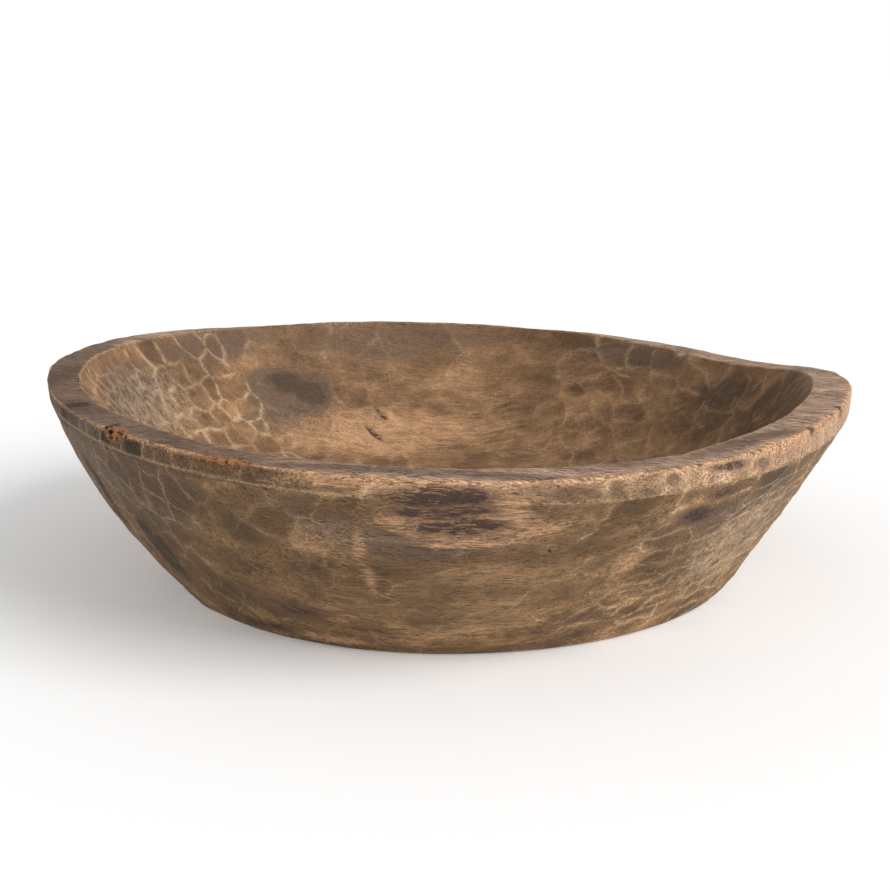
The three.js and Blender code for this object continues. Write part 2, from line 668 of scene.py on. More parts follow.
@dataclass(frozen=True)
class Patch:
    """A patch on one face: its place, its half sizes along the ring and along the outline, and its lean.

    The height is above the base, on the wall and in the hollow. On the band and the rim, where is a share
    of the face instead. A scoop is how deep the patch is hollowed out, and firmness makes its edge crisp.
    """

    mark: Mark
    face: Face
    azimuth: float
    where: float
    half_length: float
    half_height: float
    strength: float = 1.0
    lean: float = 0.0
    scoop: float = 0.0
    firmness: float = 1.0

    def frame(self, shape: BowlShape) -> Frames:
        """Finds the patch's centre and its own two directions on the surface."""
        by_height = self.face in (Face.WALL, Face.HOLLOW)
        share = shape.share_at_height(self.face, self.azimuth, self.where) if by_height else self.where
        at = frames_on(shape, self.face, np.array([share]), np.array([self.azimuth]))
        lean = math.radians(self.lean)
        along = at.along * math.cos(lean) + at.across * math.sin(lean)
        across = at.across * math.cos(lean) - at.along * math.sin(lean)
        return Frames(at.centre, along, across)

    def mask(self, shape: BowlShape, points: Array) -> Array:
        """Works out how far the patch covers each point: e to the minus distance to the firmness's power.

        Args:
            shape: The bowl's shape.
            points: Places on the surface.

        Returns:
            1 at the centre, fading to 0 outside.
        """
        at = self.frame(shape)
        step = points - at.centre
        a = step @ at.along[0] / self.half_length
        b = step @ at.across[0] / self.half_height
        reach = max(self.half_length, self.half_height)
        off = np.sqrt(np.maximum((step**2).sum(axis=-1), 0.0)) / (1.6 * reach)
        return np.exp(-((a**2 + b**2) ** self.firmness)) * (1.0 - fade(off, 0.9, 1.3))


@dataclass(frozen=True)
class Chip:
    """A bite out of an edge or a face: its place, its reach, its depth and how dark it is inside.

    A dark of 1 is black at the centre, and more than 1 is black further out. In the small deep insect holes this black
    is partly painted shade; on the shallow chips it is their own dark stain.
    """

    face: Face
    azimuth: float
    share: float
    reach: float
    depth: float
    dark: float = 0.0

    def bite(self, shape: BowlShape, points: Array) -> Array:
        """Returns 1 at the chip's centre and 0 past its reach, as one less the squared distance."""
        centre = shape.points(self.face, np.array([self.share]), np.array([self.azimuth]))[0]
        distance = np.linalg.norm(points - centre, axis=-1) / self.reach
        return np.maximum(1.0 - distance**2, 0.0)


# --------------------------------------------------------------------------------------------------
# The bowl's mesh
# --------------------------------------------------------------------------------------------------


@dataclass
class Grid:
    """The bowl's points and triangles, with the face and the azimuth that each point belongs to."""

    points: Array
    triangles: Array
    face: Array
    share: Array
    azimuth: Array


def strip(lower: Array, upper: Array) -> Array:
    """Joins two rings of points by triangles that face outwards.

    The rings run the same way round, and the outline goes from lower to upper. They have the same number
    of points, or one has twice as many as the other, or one is a single point at a pole.

    Args:
        lower: Indices of the first ring.
        upper: Indices of the second ring.

    Returns:
        The triangles.
    """
    low_next, up_next = np.roll(lower, -1), np.roll(upper, -1)
    if len(lower) == 1:
        parts = [(np.full(len(upper), lower[0]), up_next, upper)]
    elif len(upper) == 1:
        parts = [(lower, low_next, np.full(len(lower), upper[0]))]
    elif len(lower) == len(upper):
        parts = [(lower, low_next, upper), (low_next, up_next, upper)]
    elif len(lower) == 2 * len(upper):
        even, odd, after = lower[::2], lower[1::2], np.roll(lower[::2], -1)
        parts = [(even, odd, upper), (odd, after, up_next), (odd, up_next, upper)]
    else:
        even, odd, after = upper[::2], upper[1::2], np.roll(upper[::2], -1)
        parts = [(lower, low_next, odd), (lower, odd, even), (low_next, after, odd)]
    return np.concatenate([np.stack(part, axis=1) for part in parts])


def vertex_normals(points: Array, triangles: Array) -> Array:
    """Adds up the area vectors of the triangles around each point and makes them unit length.

    Args:
        points: The points.
        triangles: The triangles.

    Returns:
        The outward normals.
    """
    corner = points[triangles]
    area = np.cross(corner[:, 1] - corner[:, 0], corner[:, 2] - corner[:, 0])
    total = np.zeros_like(points)
    for axis in range(3):
        for place in range(3):
            total[:, axis] += np.bincount(triangles[:, place], area[:, axis], len(points))
    return total / np.maximum(np.linalg.norm(total, axis=1, keepdims=True), 1e-12)


@dataclass
class CarvedBowl:
    """The whole bowl as one closed surface, with its carving and the masks that its finish reads."""

    shape: BowlShape
    columns: int = 672
    wall_rows: int = 45
    band_rows: int = 8
    rim_rows: int = 10
    hollow_rows: int = 47
    edge_rows: int = 3
    fine_from: float = -139.0
    fine_to: float = -110.0
    side_share: float = 0.52
    ridge_softness: float = 0.16 * MM
    top_wear: float = 5.0
    broad_waver: Waver = Waver(31, 1.0 * MM, 18 * MM, 44 * MM)
    close_waver: Waver = Waver(41, 0.5 * MM, 4.5 * MM, 12 * MM)

    outside_cuts: tuple[CutField, ...] = (
        CutField(Face.WALL, -182, -119, 0.0, 1.0, 12 * MM, 15 * MM, 0.27 * MM, Layout.COLUMNS, 0.3, 8, 0.4),
        CutField(Face.WALL, -119, -102, 0.0, 1.0, 20 * MM, 15 * MM, 0.32 * MM, Layout.ROWS, 0.3, 6, 0.36),
        CutField(Face.WALL, -102, -72, 0.0, 1.0, 42 * MM, 27 * MM, 0.42 * MM, Layout.ROWS, 0.3, 0, 0.32),
        CutField(Face.WALL, -72, -64, 0.0, 1.0, 25 * MM, 15 * MM, 0.34 * MM, Layout.ROWS, 0.3, 0, 0.7),
        CutField(Face.WALL, -64, -14, 0.0, 1.0, 20 * MM, 9 * MM, 0.32 * MM, Layout.ROWS, 0.18, 3, 1.3),
        CutField(Face.WALL, -14, 60, 0.0, 1.0, 21 * MM, 13 * MM, 0.4 * MM, Layout.ROWS, 0.25, 4, 0.7),
        CutField(Face.WALL, 60, 122, 0.0, 1.0, 32 * MM, 20 * MM, 0.42 * MM, Layout.ROWS, 0.28, 0, 0.35),
        CutField(Face.WALL, 122, 178, 0.0, 1.0, 17 * MM, 13 * MM, 0.4 * MM, Layout.COLUMNS, 0.25, -6, 0.6),
    )
    band_cuts: tuple[CutField, ...] = (
        CutField(Face.BAND, -180, -118, 0.0, 1.0, 12 * MM, 40 * MM, 0.2 * MM, Layout.ROWS, 0.25, 0, 0.65),
        CutField(Face.BAND, -118, -72, 0.0, 1.0, 26 * MM, 40 * MM, 0.35 * MM, Layout.ROWS, 0.25, 0, 0.3),
        CutField(Face.BAND, -72, 0, 0.0, 1.0, 13 * MM, 40 * MM, 0.22 * MM, Layout.ROWS, 0.28, 0, 0.8),
        CutField(Face.BAND, 0, 180, 0.0, 1.0, 16 * MM, 40 * MM, 0.18 * MM, Layout.ROWS, 0.25, 0, 0.5),
    )
    hollow_cuts: tuple[CutField, ...] = (
        CutField(Face.HOLLOW, 163, 214, 0.0, 0.2, 11 * MM, 10 * MM, 0.45 * MM, Layout.ROWS, 0.3, 20, 0.6),
        CutField(Face.HOLLOW, 138, 163, 0.0, 0.2, 15 * MM, 15 * MM, 0.6 * MM, Layout.ROWS, 0.24, 0, 1.0),
        CutField(Face.HOLLOW, 134, 168, 0.2, 0.52, 15 * MM, 14 * MM, 0.7 * MM, Layout.ROWS, 0.24, 0, 1.3),
        CutField(Face.HOLLOW, 168, 214, 0.2, 0.52, 19 * MM, 16 * MM, 0.6 * MM, Layout.ROWS, 0.28, 8, 0.7),
        CutField(Face.HOLLOW, 104, 136, 0.0, 0.52, 24 * MM, 20 * MM, 0.5 * MM, Layout.ROWS, 0.28, 10, 0.3),
        CutField(Face.HOLLOW, 62, 104, 0.0, 0.52, 34 * MM, 30 * MM, 0.6 * MM, Layout.COLUMNS, 0.28, 25, 0.18),
        CutField(Face.HOLLOW, 8, 62, 0.0, 0.52, 24 * MM, 14 * MM, 0.45 * MM, Layout.ROWS, 0.42, -28, 0.3),
        CutField(Face.HOLLOW, -34, 8, 0.0, 0.52, 13 * MM, 34 * MM, 0.4 * MM, Layout.COLUMNS, 0.25, 0, 0.3),
        CutField(Face.HOLLOW, -146, -34, 0.0, 0.52, 23 * MM, 19 * MM, 0.6 * MM, Layout.ROWS, 0.3, 12, 0.32),
        CutField(Face.HOLLOW, -180, 180, 0.52, 0.985, 31 * MM, 30 * MM, 0.55 * MM, Layout.ROWS, 0.3, 15, 0.3),
    )
    underside_cuts: tuple[CutField, ...] = (
        CutField(Face.UNDERSIDE, -180, 180, 0.04, 0.99, 34 * MM, 22 * MM, 0.35 * MM, Layout.ROWS, 0.3, 20, 0.3),
    )
    patches: tuple[Patch, ...] = (
        # The charred, half-decayed hollow just below the rim at the front.
        Patch(Mark.PURPLE, Face.BAND, -91.5, 0.3, 27 * MM, 6 * MM, 0.8, 0, 0.3 * MM, 2.4),
        Patch(Mark.PURPLE, Face.WALL, -91, 83.5 * MM, 25 * MM, 6.5 * MM, 0.78, 0, 0, 2.4),
        Patch(Mark.PURPLE, Face.WALL, -89.5, 76 * MM, 22 * MM, 6 * MM, 0.76, 0, 0, 2.4),
        Patch(Mark.PURPLE, Face.BAND, -88.5, 0.15, 10 * MM, 4 * MM, 0.82, 0, 0.3 * MM, 1.2),
        Patch(Mark.PURPLE, Face.WALL, -90.3, 84.5 * MM, 10 * MM, 4 * MM, 0.76, 0, 0.4 * MM, 1.2),
        Patch(Mark.PURPLE, Face.WALL, -92.6, 75 * MM, 10 * MM, 3.6 * MM, 0.84, -3, 0.3 * MM, 1.2),
        Patch(Mark.PURPLE, Face.WALL, -86.9, 76.4 * MM, 15 * MM, 3.4 * MM, 0.84, 2, 0.3 * MM, 1.2),
        Patch(Mark.ORANGE, Face.WALL, -90, 79 * MM, 24 * MM, 8 * MM, 0.6, 0, 0.9 * MM, 2.0),
        Patch(Mark.BROWN, Face.WALL, -99.8, 86.5 * MM, 12 * MM, 5 * MM, 1.1, 0, 0.2 * MM, 1.6),
        Patch(Mark.BROWN, Face.BAND, -105, 0.45, 20 * MM, 3.4 * MM, 1.0, 0, 0.2 * MM, 1.5),
        Patch(Mark.ORANGE, Face.WALL, -89, 79 * MM, 32 * MM, 12 * MM, 1.0, 0, 0, 2.0),
        Patch(Mark.ORANGE, Face.WALL, -80, 74 * MM, 13 * MM, 4 * MM, 1.0, 14, 0, 1.4),
        Patch(Mark.ORANGE, Face.WALL, -88, 68 * MM, 22 * MM, 1.8 * MM, 1.1, 0, -0.4 * MM, 1.4),
        # Dark cells on the right of the wall, and the streaks above the foot.
        Patch(Mark.PURPLE, Face.WALL, -58.5, 71 * MM, 17 * MM, 6.5 * MM, 0.76, -6, 0.2 * MM, 1.8),
        Patch(Mark.PURPLE, Face.WALL, -56.5, 81 * MM, 13 * MM, 5 * MM, 0.72, -6, 0.1 * MM, 1.8),
        Patch(Mark.BROWN, Face.WALL, -46, 80 * MM, 16 * MM, 7 * MM, 0.9, -6, 0, 1.5),
        Patch(Mark.BROWN, Face.WALL, -64, 60 * MM, 16 * MM, 12 * MM, 0.55, -6, 0, 1.5),
        Patch(Mark.BROWN, Face.WALL, -62.5, 17 * MM, 28 * MM, 6 * MM, 1.0, -5, 0, 1.4),
        Patch(Mark.BROWN, Face.WALL, -92, 26 * MM, 15 * MM, 15 * MM, 0.9, 20, 0, 1.3),
        Patch(Mark.BROWN, Face.WALL, -104, 84 * MM, 22 * MM, 8 * MM, 0.8, 0, 0, 1.5),
        Patch(Mark.BROWN, Face.WALL, -114, 72 * MM, 24 * MM, 22 * MM, 0.6, 0, 0, 1.3),
        Patch(Mark.BROWN, Face.WALL, -71, 84 * MM, 24 * MM, 8 * MM, 0.75, 0, 0, 1.5),
        Patch(Mark.BROWN, Face.WALL, -84, 40 * MM, 34 * MM, 10 * MM, 0.5, 0, 0, 1.2),
        Patch(Mark.BROWN, Face.WALL, -90, 46 * MM, 74 * MM, 40 * MM, 0.48, 0, 0, 2.4),
        Patch(Mark.BROWN, Face.WALL, -74, 66 * MM, 22 * MM, 10 * MM, 0.66, 0, 0, 1.4),
        Patch(Mark.BROWN, Face.WALL, -88, 3 * MM, 60 * MM, 4 * MM, 0.8, 0, 0, 1.2),
        # The dark left side, away from the key light: its brown patches are partly its own stain and partly painted
        # shade, with a green-black smudge down the silhouette.
        Patch(Mark.OLIVE, Face.WALL, -138, 40 * MM, 9 * MM, 20 * MM, 1.7, 0, 0, 1.8),
        Patch(Mark.OLIVE, Face.WALL, -147, 62 * MM, 8 * MM, 20 * MM, 1.0, 0, 0, 1.4),
        Patch(Mark.BROWN, Face.WALL, -128, 80 * MM, 40 * MM, 15 * MM, 1.0, 0, 0, 1.6),
        Patch(Mark.BROWN, Face.WALL, -132, 50 * MM, 40 * MM, 30 * MM, 0.66, 0, 0, 1.2),
        Patch(Mark.BROWN, Face.WALL, -128, 26 * MM, 44 * MM, 18 * MM, 0.72, 0, 0, 1.4),
        Patch(Mark.PURPLE, Face.WALL, -122, 8 * MM, 24 * MM, 5 * MM, 0.7, 4, 0, 1.4),
        Patch(Mark.PURPLE, Face.WALL, -113, 24 * MM, 20 * MM, 7 * MM, 0.7, 0, 0, 1.4),
        Patch(Mark.BROWN, Face.WALL, -118, 24 * MM, 30 * MM, 14 * MM, 0.7, 0, 0, 1.3),
        # Bare orange wood where the surface is rubbed through.
        Patch(Mark.ORANGE, Face.WALL, -100.9, 64 * MM, 3.0 * MM, 13 * MM, 0.8, -5, 0, 1.0),
        Patch(Mark.ORANGE, Face.WALL, -100.4, 47 * MM, 3.6 * MM, 13 * MM, 0.7, 7, 0, 1.0),
        Patch(Mark.ORANGE, Face.WALL, -110, 6 * MM, 22 * MM, 4 * MM, 0.9, 0, 0, 1.2),
        Patch(Mark.ORANGE, Face.WALL, -67, 50 * MM, 7 * MM, 22 * MM, 0.55, 0, 0, 1.0),
        Patch(Mark.ORANGE, Face.WALL, -82, 50 * MM, 36 * MM, 12 * MM, 0.36, 0, 0, 1.0),
        Patch(Mark.PALE, Face.WALL, -44, 46 * MM, 40 * MM, 34 * MM, 0.8, 0, 0, 1.4),
        # Blotches on the band and along the rim.
        Patch(Mark.BROWN, Face.BAND, -122, 0.4, 62 * MM, 5.5 * MM, 1.4, 0, 0, 3.0),
        Patch(Mark.BROWN, Face.BAND, -160, 0.45, 60 * MM, 8 * MM, 1.2, 0, 0, 2.0),
        Patch(Mark.OLIVE, Face.BAND, -129.5, 0.45, 6 * MM, 5 * MM, 1.0, 0, 0, 3.0),
        Patch(Mark.OLIVE, Face.BAND, -135.5, 0.45, 4 * MM, 5 * MM, 0.8, 0, 0, 3.0),
        Patch(Mark.OLIVE, Face.BAND, -149, 0.45, 7 * MM, 6 * MM, 1.0, 0, 0, 3.0),
        Patch(Mark.BROWN, Face.BAND, -77, 0.5, 12 * MM, 3.5 * MM, 0.9, 0, 0, 1.5),
        Patch(Mark.BROWN, Face.BAND, -72, 0.55, 5 * MM, 4 * MM, 0.9, 0, 0, 1.5),
        Patch(Mark.BROWN, Face.BAND, -65, 0.6, 6 * MM, 3 * MM, 0.8, 0, 0, 1.5),
        Patch(Mark.PURPLE, Face.BAND, -56, 0.75, 13 * MM, 2.5 * MM, 0.9, -4, 0, 1.4),
        Patch(Mark.BROWN, Face.BAND, -50, 0.5, 10 * MM, 4 * MM, 0.8, 0, 0, 1.4),
        Patch(Mark.GREY, Face.RIM, -18, 0.3, 12 * MM, 5 * MM, 0.8, 0, 0, 1.3),
        Patch(Mark.MAUVE, Face.RIM, -138, 0.5, 60 * MM, 12 * MM, 1.2, 0, 0, 1.6),
        Patch(Mark.MAUVE, Face.RIM, 178, 0.5, 80 * MM, 14 * MM, 1.4, 0, 0, 1.6),
        Patch(Mark.MAUVE, Face.RIM, -95, 0.7, 70 * MM, 6 * MM, 0.9, 0, 0, 1.3),
        Patch(Mark.MAUVE, Face.RIM, -50, 0.6, 50 * MM, 7 * MM, 0.8, 0, 0, 1.3),
        Patch(Mark.GREY, Face.RIM, 8, 0.5, 30 * MM, 10 * MM, 0.7, 0, 0, 1.2),
        # Inside: the grey, flecked left end, the dark blotch, and the brown upper side.
        Patch(Mark.GREY, Face.HOLLOW, 172, 84 * MM, 50 * MM, 18 * MM, 0.75, 0, 0, 1.6),
        Patch(Mark.MAUVE, Face.HOLLOW, 170, 80 * MM, 60 * MM, 24 * MM, 0.7, 0, 0, 1.3),
        Patch(Mark.PALE, Face.HOLLOW, 168, 72 * MM, 52 * MM, 30 * MM, 0.6, 0, 0, 1.6),
        Patch(Mark.MAUVE, Face.HOLLOW, 130, 64 * MM, 22 * MM, 16 * MM, 1.5, 0, 0, 2.6),
        Patch(Mark.MAUVE, Face.HOLLOW, 122.5, 60 * MM, 18 * MM, 15 * MM, 1.5, 0, 0, 2.6),
        Patch(Mark.MAUVE, Face.HOLLOW, 133, 50 * MM, 26 * MM, 8 * MM, 1.1, 0, 0, 2.0),
        Patch(Mark.OLIVE, Face.HOLLOW, 127.5, 67 * MM, 17 * MM, 10 * MM, 0.58, 0, 0, 2.4),
        Patch(Mark.OLIVE, Face.HOLLOW, 121, 60 * MM, 14 * MM, 12 * MM, 0.62, 0, 0, 2.4),
        Patch(Mark.OLIVE, Face.HOLLOW, 127, 51 * MM, 26 * MM, 7 * MM, 0.48, 0, 0, 2.4),
        Patch(Mark.MAUVE, Face.HOLLOW, 100, 84 * MM, 90 * MM, 16 * MM, 0.7, 0, 0, 1.4),
        Patch(Mark.MAUVE, Face.HOLLOW, 140, 92 * MM, 60 * MM, 12 * MM, 0.8, 0, 0, 1.4),
        Patch(Mark.BROWN, Face.HOLLOW, 66, 86 * MM, 36 * MM, 9 * MM, 1.0, 0, 0, 1.4),
        Patch(Mark.BROWN, Face.HOLLOW, 61.5, 61 * MM, 7 * MM, 7 * MM, 0.9, 0, 0, 1.4),
        Patch(Mark.BROWN, Face.HOLLOW, 60, 70 * MM, 60 * MM, 22 * MM, 0.55, 0, 0, 1.4),
        Patch(Mark.BROWN, Face.HOLLOW, 30, 60 * MM, 50 * MM, 30 * MM, 0.6, 0, 0, 1.4),
        Patch(Mark.OLIVE, Face.HOLLOW, 36, 50 * MM, 20 * MM, 12 * MM, 0.42, 0, 0, 1.6),
        Patch(Mark.OLIVE, Face.HOLLOW, 45.5, 67 * MM, 16 * MM, 9 * MM, 0.4, 0, 0, 1.6),
        Patch(Mark.MAUVE, Face.HOLLOW, 29, 70 * MM, 20 * MM, 12 * MM, 1.0, 20, 0, 1.6),
        Patch(Mark.MAUVE, Face.HOLLOW, 54, 80 * MM, 46 * MM, 10 * MM, 0.9, 0, 0, 1.6),
        Patch(Mark.BROWN, Face.HOLLOW, 22, 76 * MM, 14 * MM, 8 * MM, 1.0, 0, 0, 1.6),
        Patch(Mark.BROWN, Face.HOLLOW, 0, 66 * MM, 50 * MM, 36 * MM, 1.2, 0, 0, 1.4),
        Patch(Mark.OLIVE, Face.HOLLOW, 13, 78 * MM, 9 * MM, 14 * MM, 0.55, 0, 0, 1.6),
        Patch(Mark.ORANGE, Face.HOLLOW, 105, 34 * MM, 80 * MM, 18 * MM, 0.75, 0, 0, 1.4),
        Patch(Mark.PURPLE, Face.HOLLOW, 106.5, 45 * MM, 1.8 * MM, 7 * MM, 0.9, 38, 1.4 * MM, 1.3),
        Patch(Mark.PURPLE, Face.HOLLOW, 109.5, 36.5 * MM, 2.0 * MM, 8 * MM, 1.0, 34, 1.6 * MM, 1.3),
        Patch(Mark.ORANGE, Face.HOLLOW, 104, 41 * MM, 5 * MM, 12 * MM, 1.2, 30, 0, 1.4),
        # Insect damage on the rim's outer edge.
        Patch(Mark.CRUMBLE, Face.OUTER_EDGE, -133.5, 0.5, 9 * MM, 4 * MM, 1.0, 0, 0.7 * MM, 1.6),
        Patch(Mark.CRUMBLE, Face.OUTER_EDGE, -115.5, 0.2, 16 * MM, 2.2 * MM, 0.9, 0, 0.4 * MM, 1.4),
        Patch(Mark.ORANGE, Face.OUTER_EDGE, -98, 0.4, 44 * MM, 3.4 * MM, 1.0, 0, 0, 1.4),
        Patch(Mark.ORANGE, Face.OUTER_EDGE, -46, 0.4, 26 * MM, 3.4 * MM, 1.0, 0, 0, 1.4),
    )
    # The near-black of the small deep insect holes is partly painted shade; on the shallow edge chips the dark is their
    # own stain.
    chips: tuple[Chip, ...] = (
        Chip(Face.OUTER_EDGE, -134.6, 0.4, 1.9 * MM, 2.4 * MM, 2.0),
        Chip(Face.OUTER_EDGE, -135.8, 0.9, 1.6 * MM, 2.0 * MM, 2.0),
        Chip(Face.OUTER_EDGE, -133.2, 0.9, 1.5 * MM, 2.0 * MM, 2.0),
        Chip(Face.OUTER_EDGE, -132.0, 0.5, 1.4 * MM, 1.6 * MM, 1.8),
        Chip(Face.OUTER_EDGE, -134.8, 0.0, 1.5 * MM, 1.8 * MM, 1.8),
        Chip(Face.OUTER_EDGE, -131.0, 0.2, 1.2 * MM, 1.4 * MM, 1.6),
        Chip(Face.OUTER_EDGE, -80.6, 0.3, 3.6 * MM, 1.3 * MM, 0.2),
        Chip(Face.OUTER_EDGE, -68.0, 0.6, 3.2 * MM, 1.0 * MM, 0.3),
        Chip(Face.OUTER_EDGE, -61.0, 0.8, 3.0 * MM, 1.0 * MM, 0.5),
        Chip(Face.OUTER_EDGE, -51.5, 0.6, 4.0 * MM, 1.2 * MM, 0.5),
        Chip(Face.OUTER_EDGE, -37.2, 0.1, 5.0 * MM, 1.2 * MM, 0.85),
        Chip(Face.OUTER_EDGE, -24.8, 0.1, 5.6 * MM, 1.4 * MM, 0.9),
        Chip(Face.OUTER_EDGE, -29.5, 0.5, 3.0 * MM, 1.0 * MM, 0.6),
        Chip(Face.OUTER_EDGE, -94.0, 0.5, 6.0 * MM, 0.9 * MM, 0.0),
        Chip(Face.OUTER_EDGE, 118.0, 0.5, 7.0 * MM, 1.8 * MM, 0.2),
        Chip(Face.OUTER_EDGE, 134.0, 0.4, 4.0 * MM, 1.2 * MM, 0.5),
        Chip(Face.WALL, -78.3, 0.72, 1.6 * MM, 1.5 * MM, 1.8),
        Chip(Face.INNER_EDGE, 44.0, 0.4, 5.0 * MM, 1.8 * MM, 0.0),
        Chip(Face.INNER_EDGE, 141.0, 0.5, 5.0 * MM, 1.2 * MM, 0.0),
        Chip(Face.INNER_EDGE, -60.0, 0.5, 4.0 * MM, 0.8 * MM, 0.0),
    )

    def azimuths(self) -> Array:
        """Spaces the columns around the bowl, twice as close where the rim is eaten by insects."""
        fine = np.linspace(-180.0, 180.0, 3601)
        weight = 1.0 + fade(fine, self.fine_from - 4, self.fine_from) * (1 - fade(fine, self.fine_to, self.fine_to + 4))
        walked = np.concatenate(([0.0], np.cumsum((weight[1:] + weight[:-1]) / 2)))
        return np.interp(np.arange(self.columns) / self.columns, walked / walked[-1], fine)

    def rings(self) -> list[tuple[int, Face, Array]]:
        """Lists the runs of rings: how many columns are skipped, the face, and the shares along it."""
        steps = lambda rows: (np.arange(rows) + 1) / rows
        inner, side = self.hollow_rows, self.side_share
        return [
            (16, Face.UNDERSIDE, np.array([0.05, 0.1, 0.16])),
            (8, Face.UNDERSIDE, np.array([0.23, 0.31, 0.4])),
            (4, Face.UNDERSIDE, np.array([0.5, 0.6, 0.7])),
            (2, Face.UNDERSIDE, np.array([0.8, 0.88, 0.94])),
            (1, Face.UNDERSIDE, np.array([0.975, 1.0])),
            (1, Face.FOOT, steps(self.edge_rows)),
            (1, Face.WALL, steps(self.wall_rows)),
            (1, Face.BAND, steps(self.band_rows)),
            (1, Face.OUTER_EDGE, steps(self.edge_rows + 1)),
            (1, Face.RIM, 1.0 - (1.0 - steps(self.rim_rows)) ** 0.85),
            (1, Face.INNER_EDGE, steps(self.edge_rows)),
            (1, Face.HOLLOW, steps(inner) * side),
            (2, Face.HOLLOW, side + (0.76 - side) * steps(13)),
            (4, Face.HOLLOW, 0.76 + 0.12 * steps(7)),
            (8, Face.HOLLOW, 0.88 + 0.07 * steps(4)),
            (16, Face.HOLLOW, 0.95 + 0.035 * steps(3)),
        ]

    def grid(self) -> Grid:
        """Builds the bare outline as rings of points and the triangles between them.

        Returns:
            The grid, before any carving.
        """
        azimuths = self.azimuths()
        points, faces, shares, turns = [np.zeros((1, 3))], [np.array([0])], [np.zeros(1)], [np.zeros(1)]
        loops = [np.array([0])]
        total = 1
        for skip, face, share in self.rings():
            around = azimuths[::skip]
            table_share, table_turn = np.meshgrid(share, around, indexing="ij")
            block = self.shape.points(face, table_share, table_turn)
            index = total + np.arange(table_share.size).reshape(table_share.shape)
            loops.extend(index)
            points.append(block.reshape(-1, 3))
            faces.append(np.full(index.size, face.value))
            shares.append(table_share.ravel())
            turns.append(table_turn.ravel())
            total += index.size
        centre = self.shape.points(Face.HOLLOW, np.array([1.0]), np.array([0.0]))
        points.append(centre)
        faces.append(np.array([Face.HOLLOW.value]))
        shares.append(np.ones(1))
        turns.append(np.zeros(1))
        loops.append(np.array([total]))
        triangles = np.concatenate([strip(low, up) for low, up in zip(loops[:-1], loops[1:], strict=True)])
        return Grid(*(np.concatenate(part) for part in (points,)), triangles, *map(np.concatenate, (faces, shares, turns)))

    def crooked(self, points: Array) -> Array:
        """Moves points a little aside, so that the cuts laid out on them meet in crooked ridges."""
        return self.close_waver.at(self.broad_waver.at(points))

    def on(self, grid: Grid, *faces: Face) -> Array:
        """Returns which points lie on any of the named faces."""
        return np.isin(grid.face, [face.value for face in faces])

    def carve(self, grid: Grid) -> tuple[Array, dict[str, Array]]:
        """Cuts the tool marks, scoops, chips and unevenness into the outline.

        Args:
            grid: The bare outline.

        Returns:
            The carved points, and the masks for the finish by attribute name.
        """
        points = grid.points
        depth = np.zeros(len(points))
        ridge_wear = np.zeros(len(points))
        near_band = 1.0 - fade(grid.share, 0.97, 1.0)
        off_foot = 0.35 + 0.65 * fade(grid.share, 0.0, 0.09)
        parts = (
            (self.outside, (Face.FOOT, Face.WALL), np.where(self.on(grid, Face.WALL), near_band * off_foot, 0.35 * grid.share)),
            (self.banded, (Face.BAND,), np.sin(np.pi * np.clip(grid.share, 0.04, 0.96)) ** 0.6),
            (self.hollowed, (Face.HOLLOW,), fade(grid.share, 0.0, 0.02)),
            (self.beneath, (Face.UNDERSIDE,), 1.0 - fade(grid.share, 0.9, 1.0)),
        )
        for cuts, faces, keep in parts:
            here = self.on(grid, *faces)
            height, wear = cuts.surface(self.crooked(points[here]), self.ridge_softness)
            level = height.mean() if Face.UNDERSIDE not in faces else height.max()
            depth[here] += (level - height) * keep[here]
            ridge_wear[here] = wear
        slow = Lumps(11, 60 * MM, 160 * MM).at(points)
        rough = Lumps(12, 9 * MM, 34 * MM).at(points)
        fine = Lumps(13, 2.2 * MM, 6 * MM, 40).at(points)
        above = ~self.on(grid, Face.UNDERSIDE, Face.FOOT)
        rim = self.on(grid, Face.OUTER_EDGE, Face.RIM, Face.INNER_EDGE)
        depth += above * slow * 0.35 * MM
        depth += rim * rough * 0.10 * MM
        masks = {name: np.zeros((len(points), 3)) for name in ("stains", "wear", "marks")}
        inside = self.on(grid, Face.HOLLOW, Face.INNER_EDGE)
        floor = self.on(grid, Face.UNDERSIDE)
        for patch in self.patches:
            mask = patch.mask(self.shape, points)
            reach = inside if patch.face is Face.HOLLOW else ~inside
            mask = mask * (reach & ~floor)
            name, place = patch.mark.value
            masks[name][:, place] = np.maximum(masks[name][:, place], mask * patch.strength)
            depth += mask * patch.scoop
        depth += masks["wear"][:, Mark.CRUMBLE.value[1]] * np.maximum(fine + 0.3, 0.0) * 0.75 * MM
        for chip in self.chips:
            bite = chip.bite(self.shape, points)
            depth += chip.depth * bite * (1.0 + 0.25 * np.tanh(fine))
            # The hole mark paints a chip's middle dark, partly as painted shade in the deep holes; chips with little
            # dark show fresh orange wood instead.
            for mark, strength in ((Mark.HOLE, chip.dark), (Mark.ORANGE, 0.6 * (1.0 - chip.dark))):
                name, place = mark.value
                masks[name][:, place] = np.maximum(masks[name][:, place], strength * bite)
        masks["ridge_wear"] = ridge_wear
        normals = vertex_normals(points, grid.triangles)
        masks["end_grain"] = fade(np.abs(normals[:, 0]), 0.3, 0.8)
        carved = points - normals * depth[:, None]
        carved[:, 2] = np.maximum(carved[:, 2], 0.0)
        return carved, masks

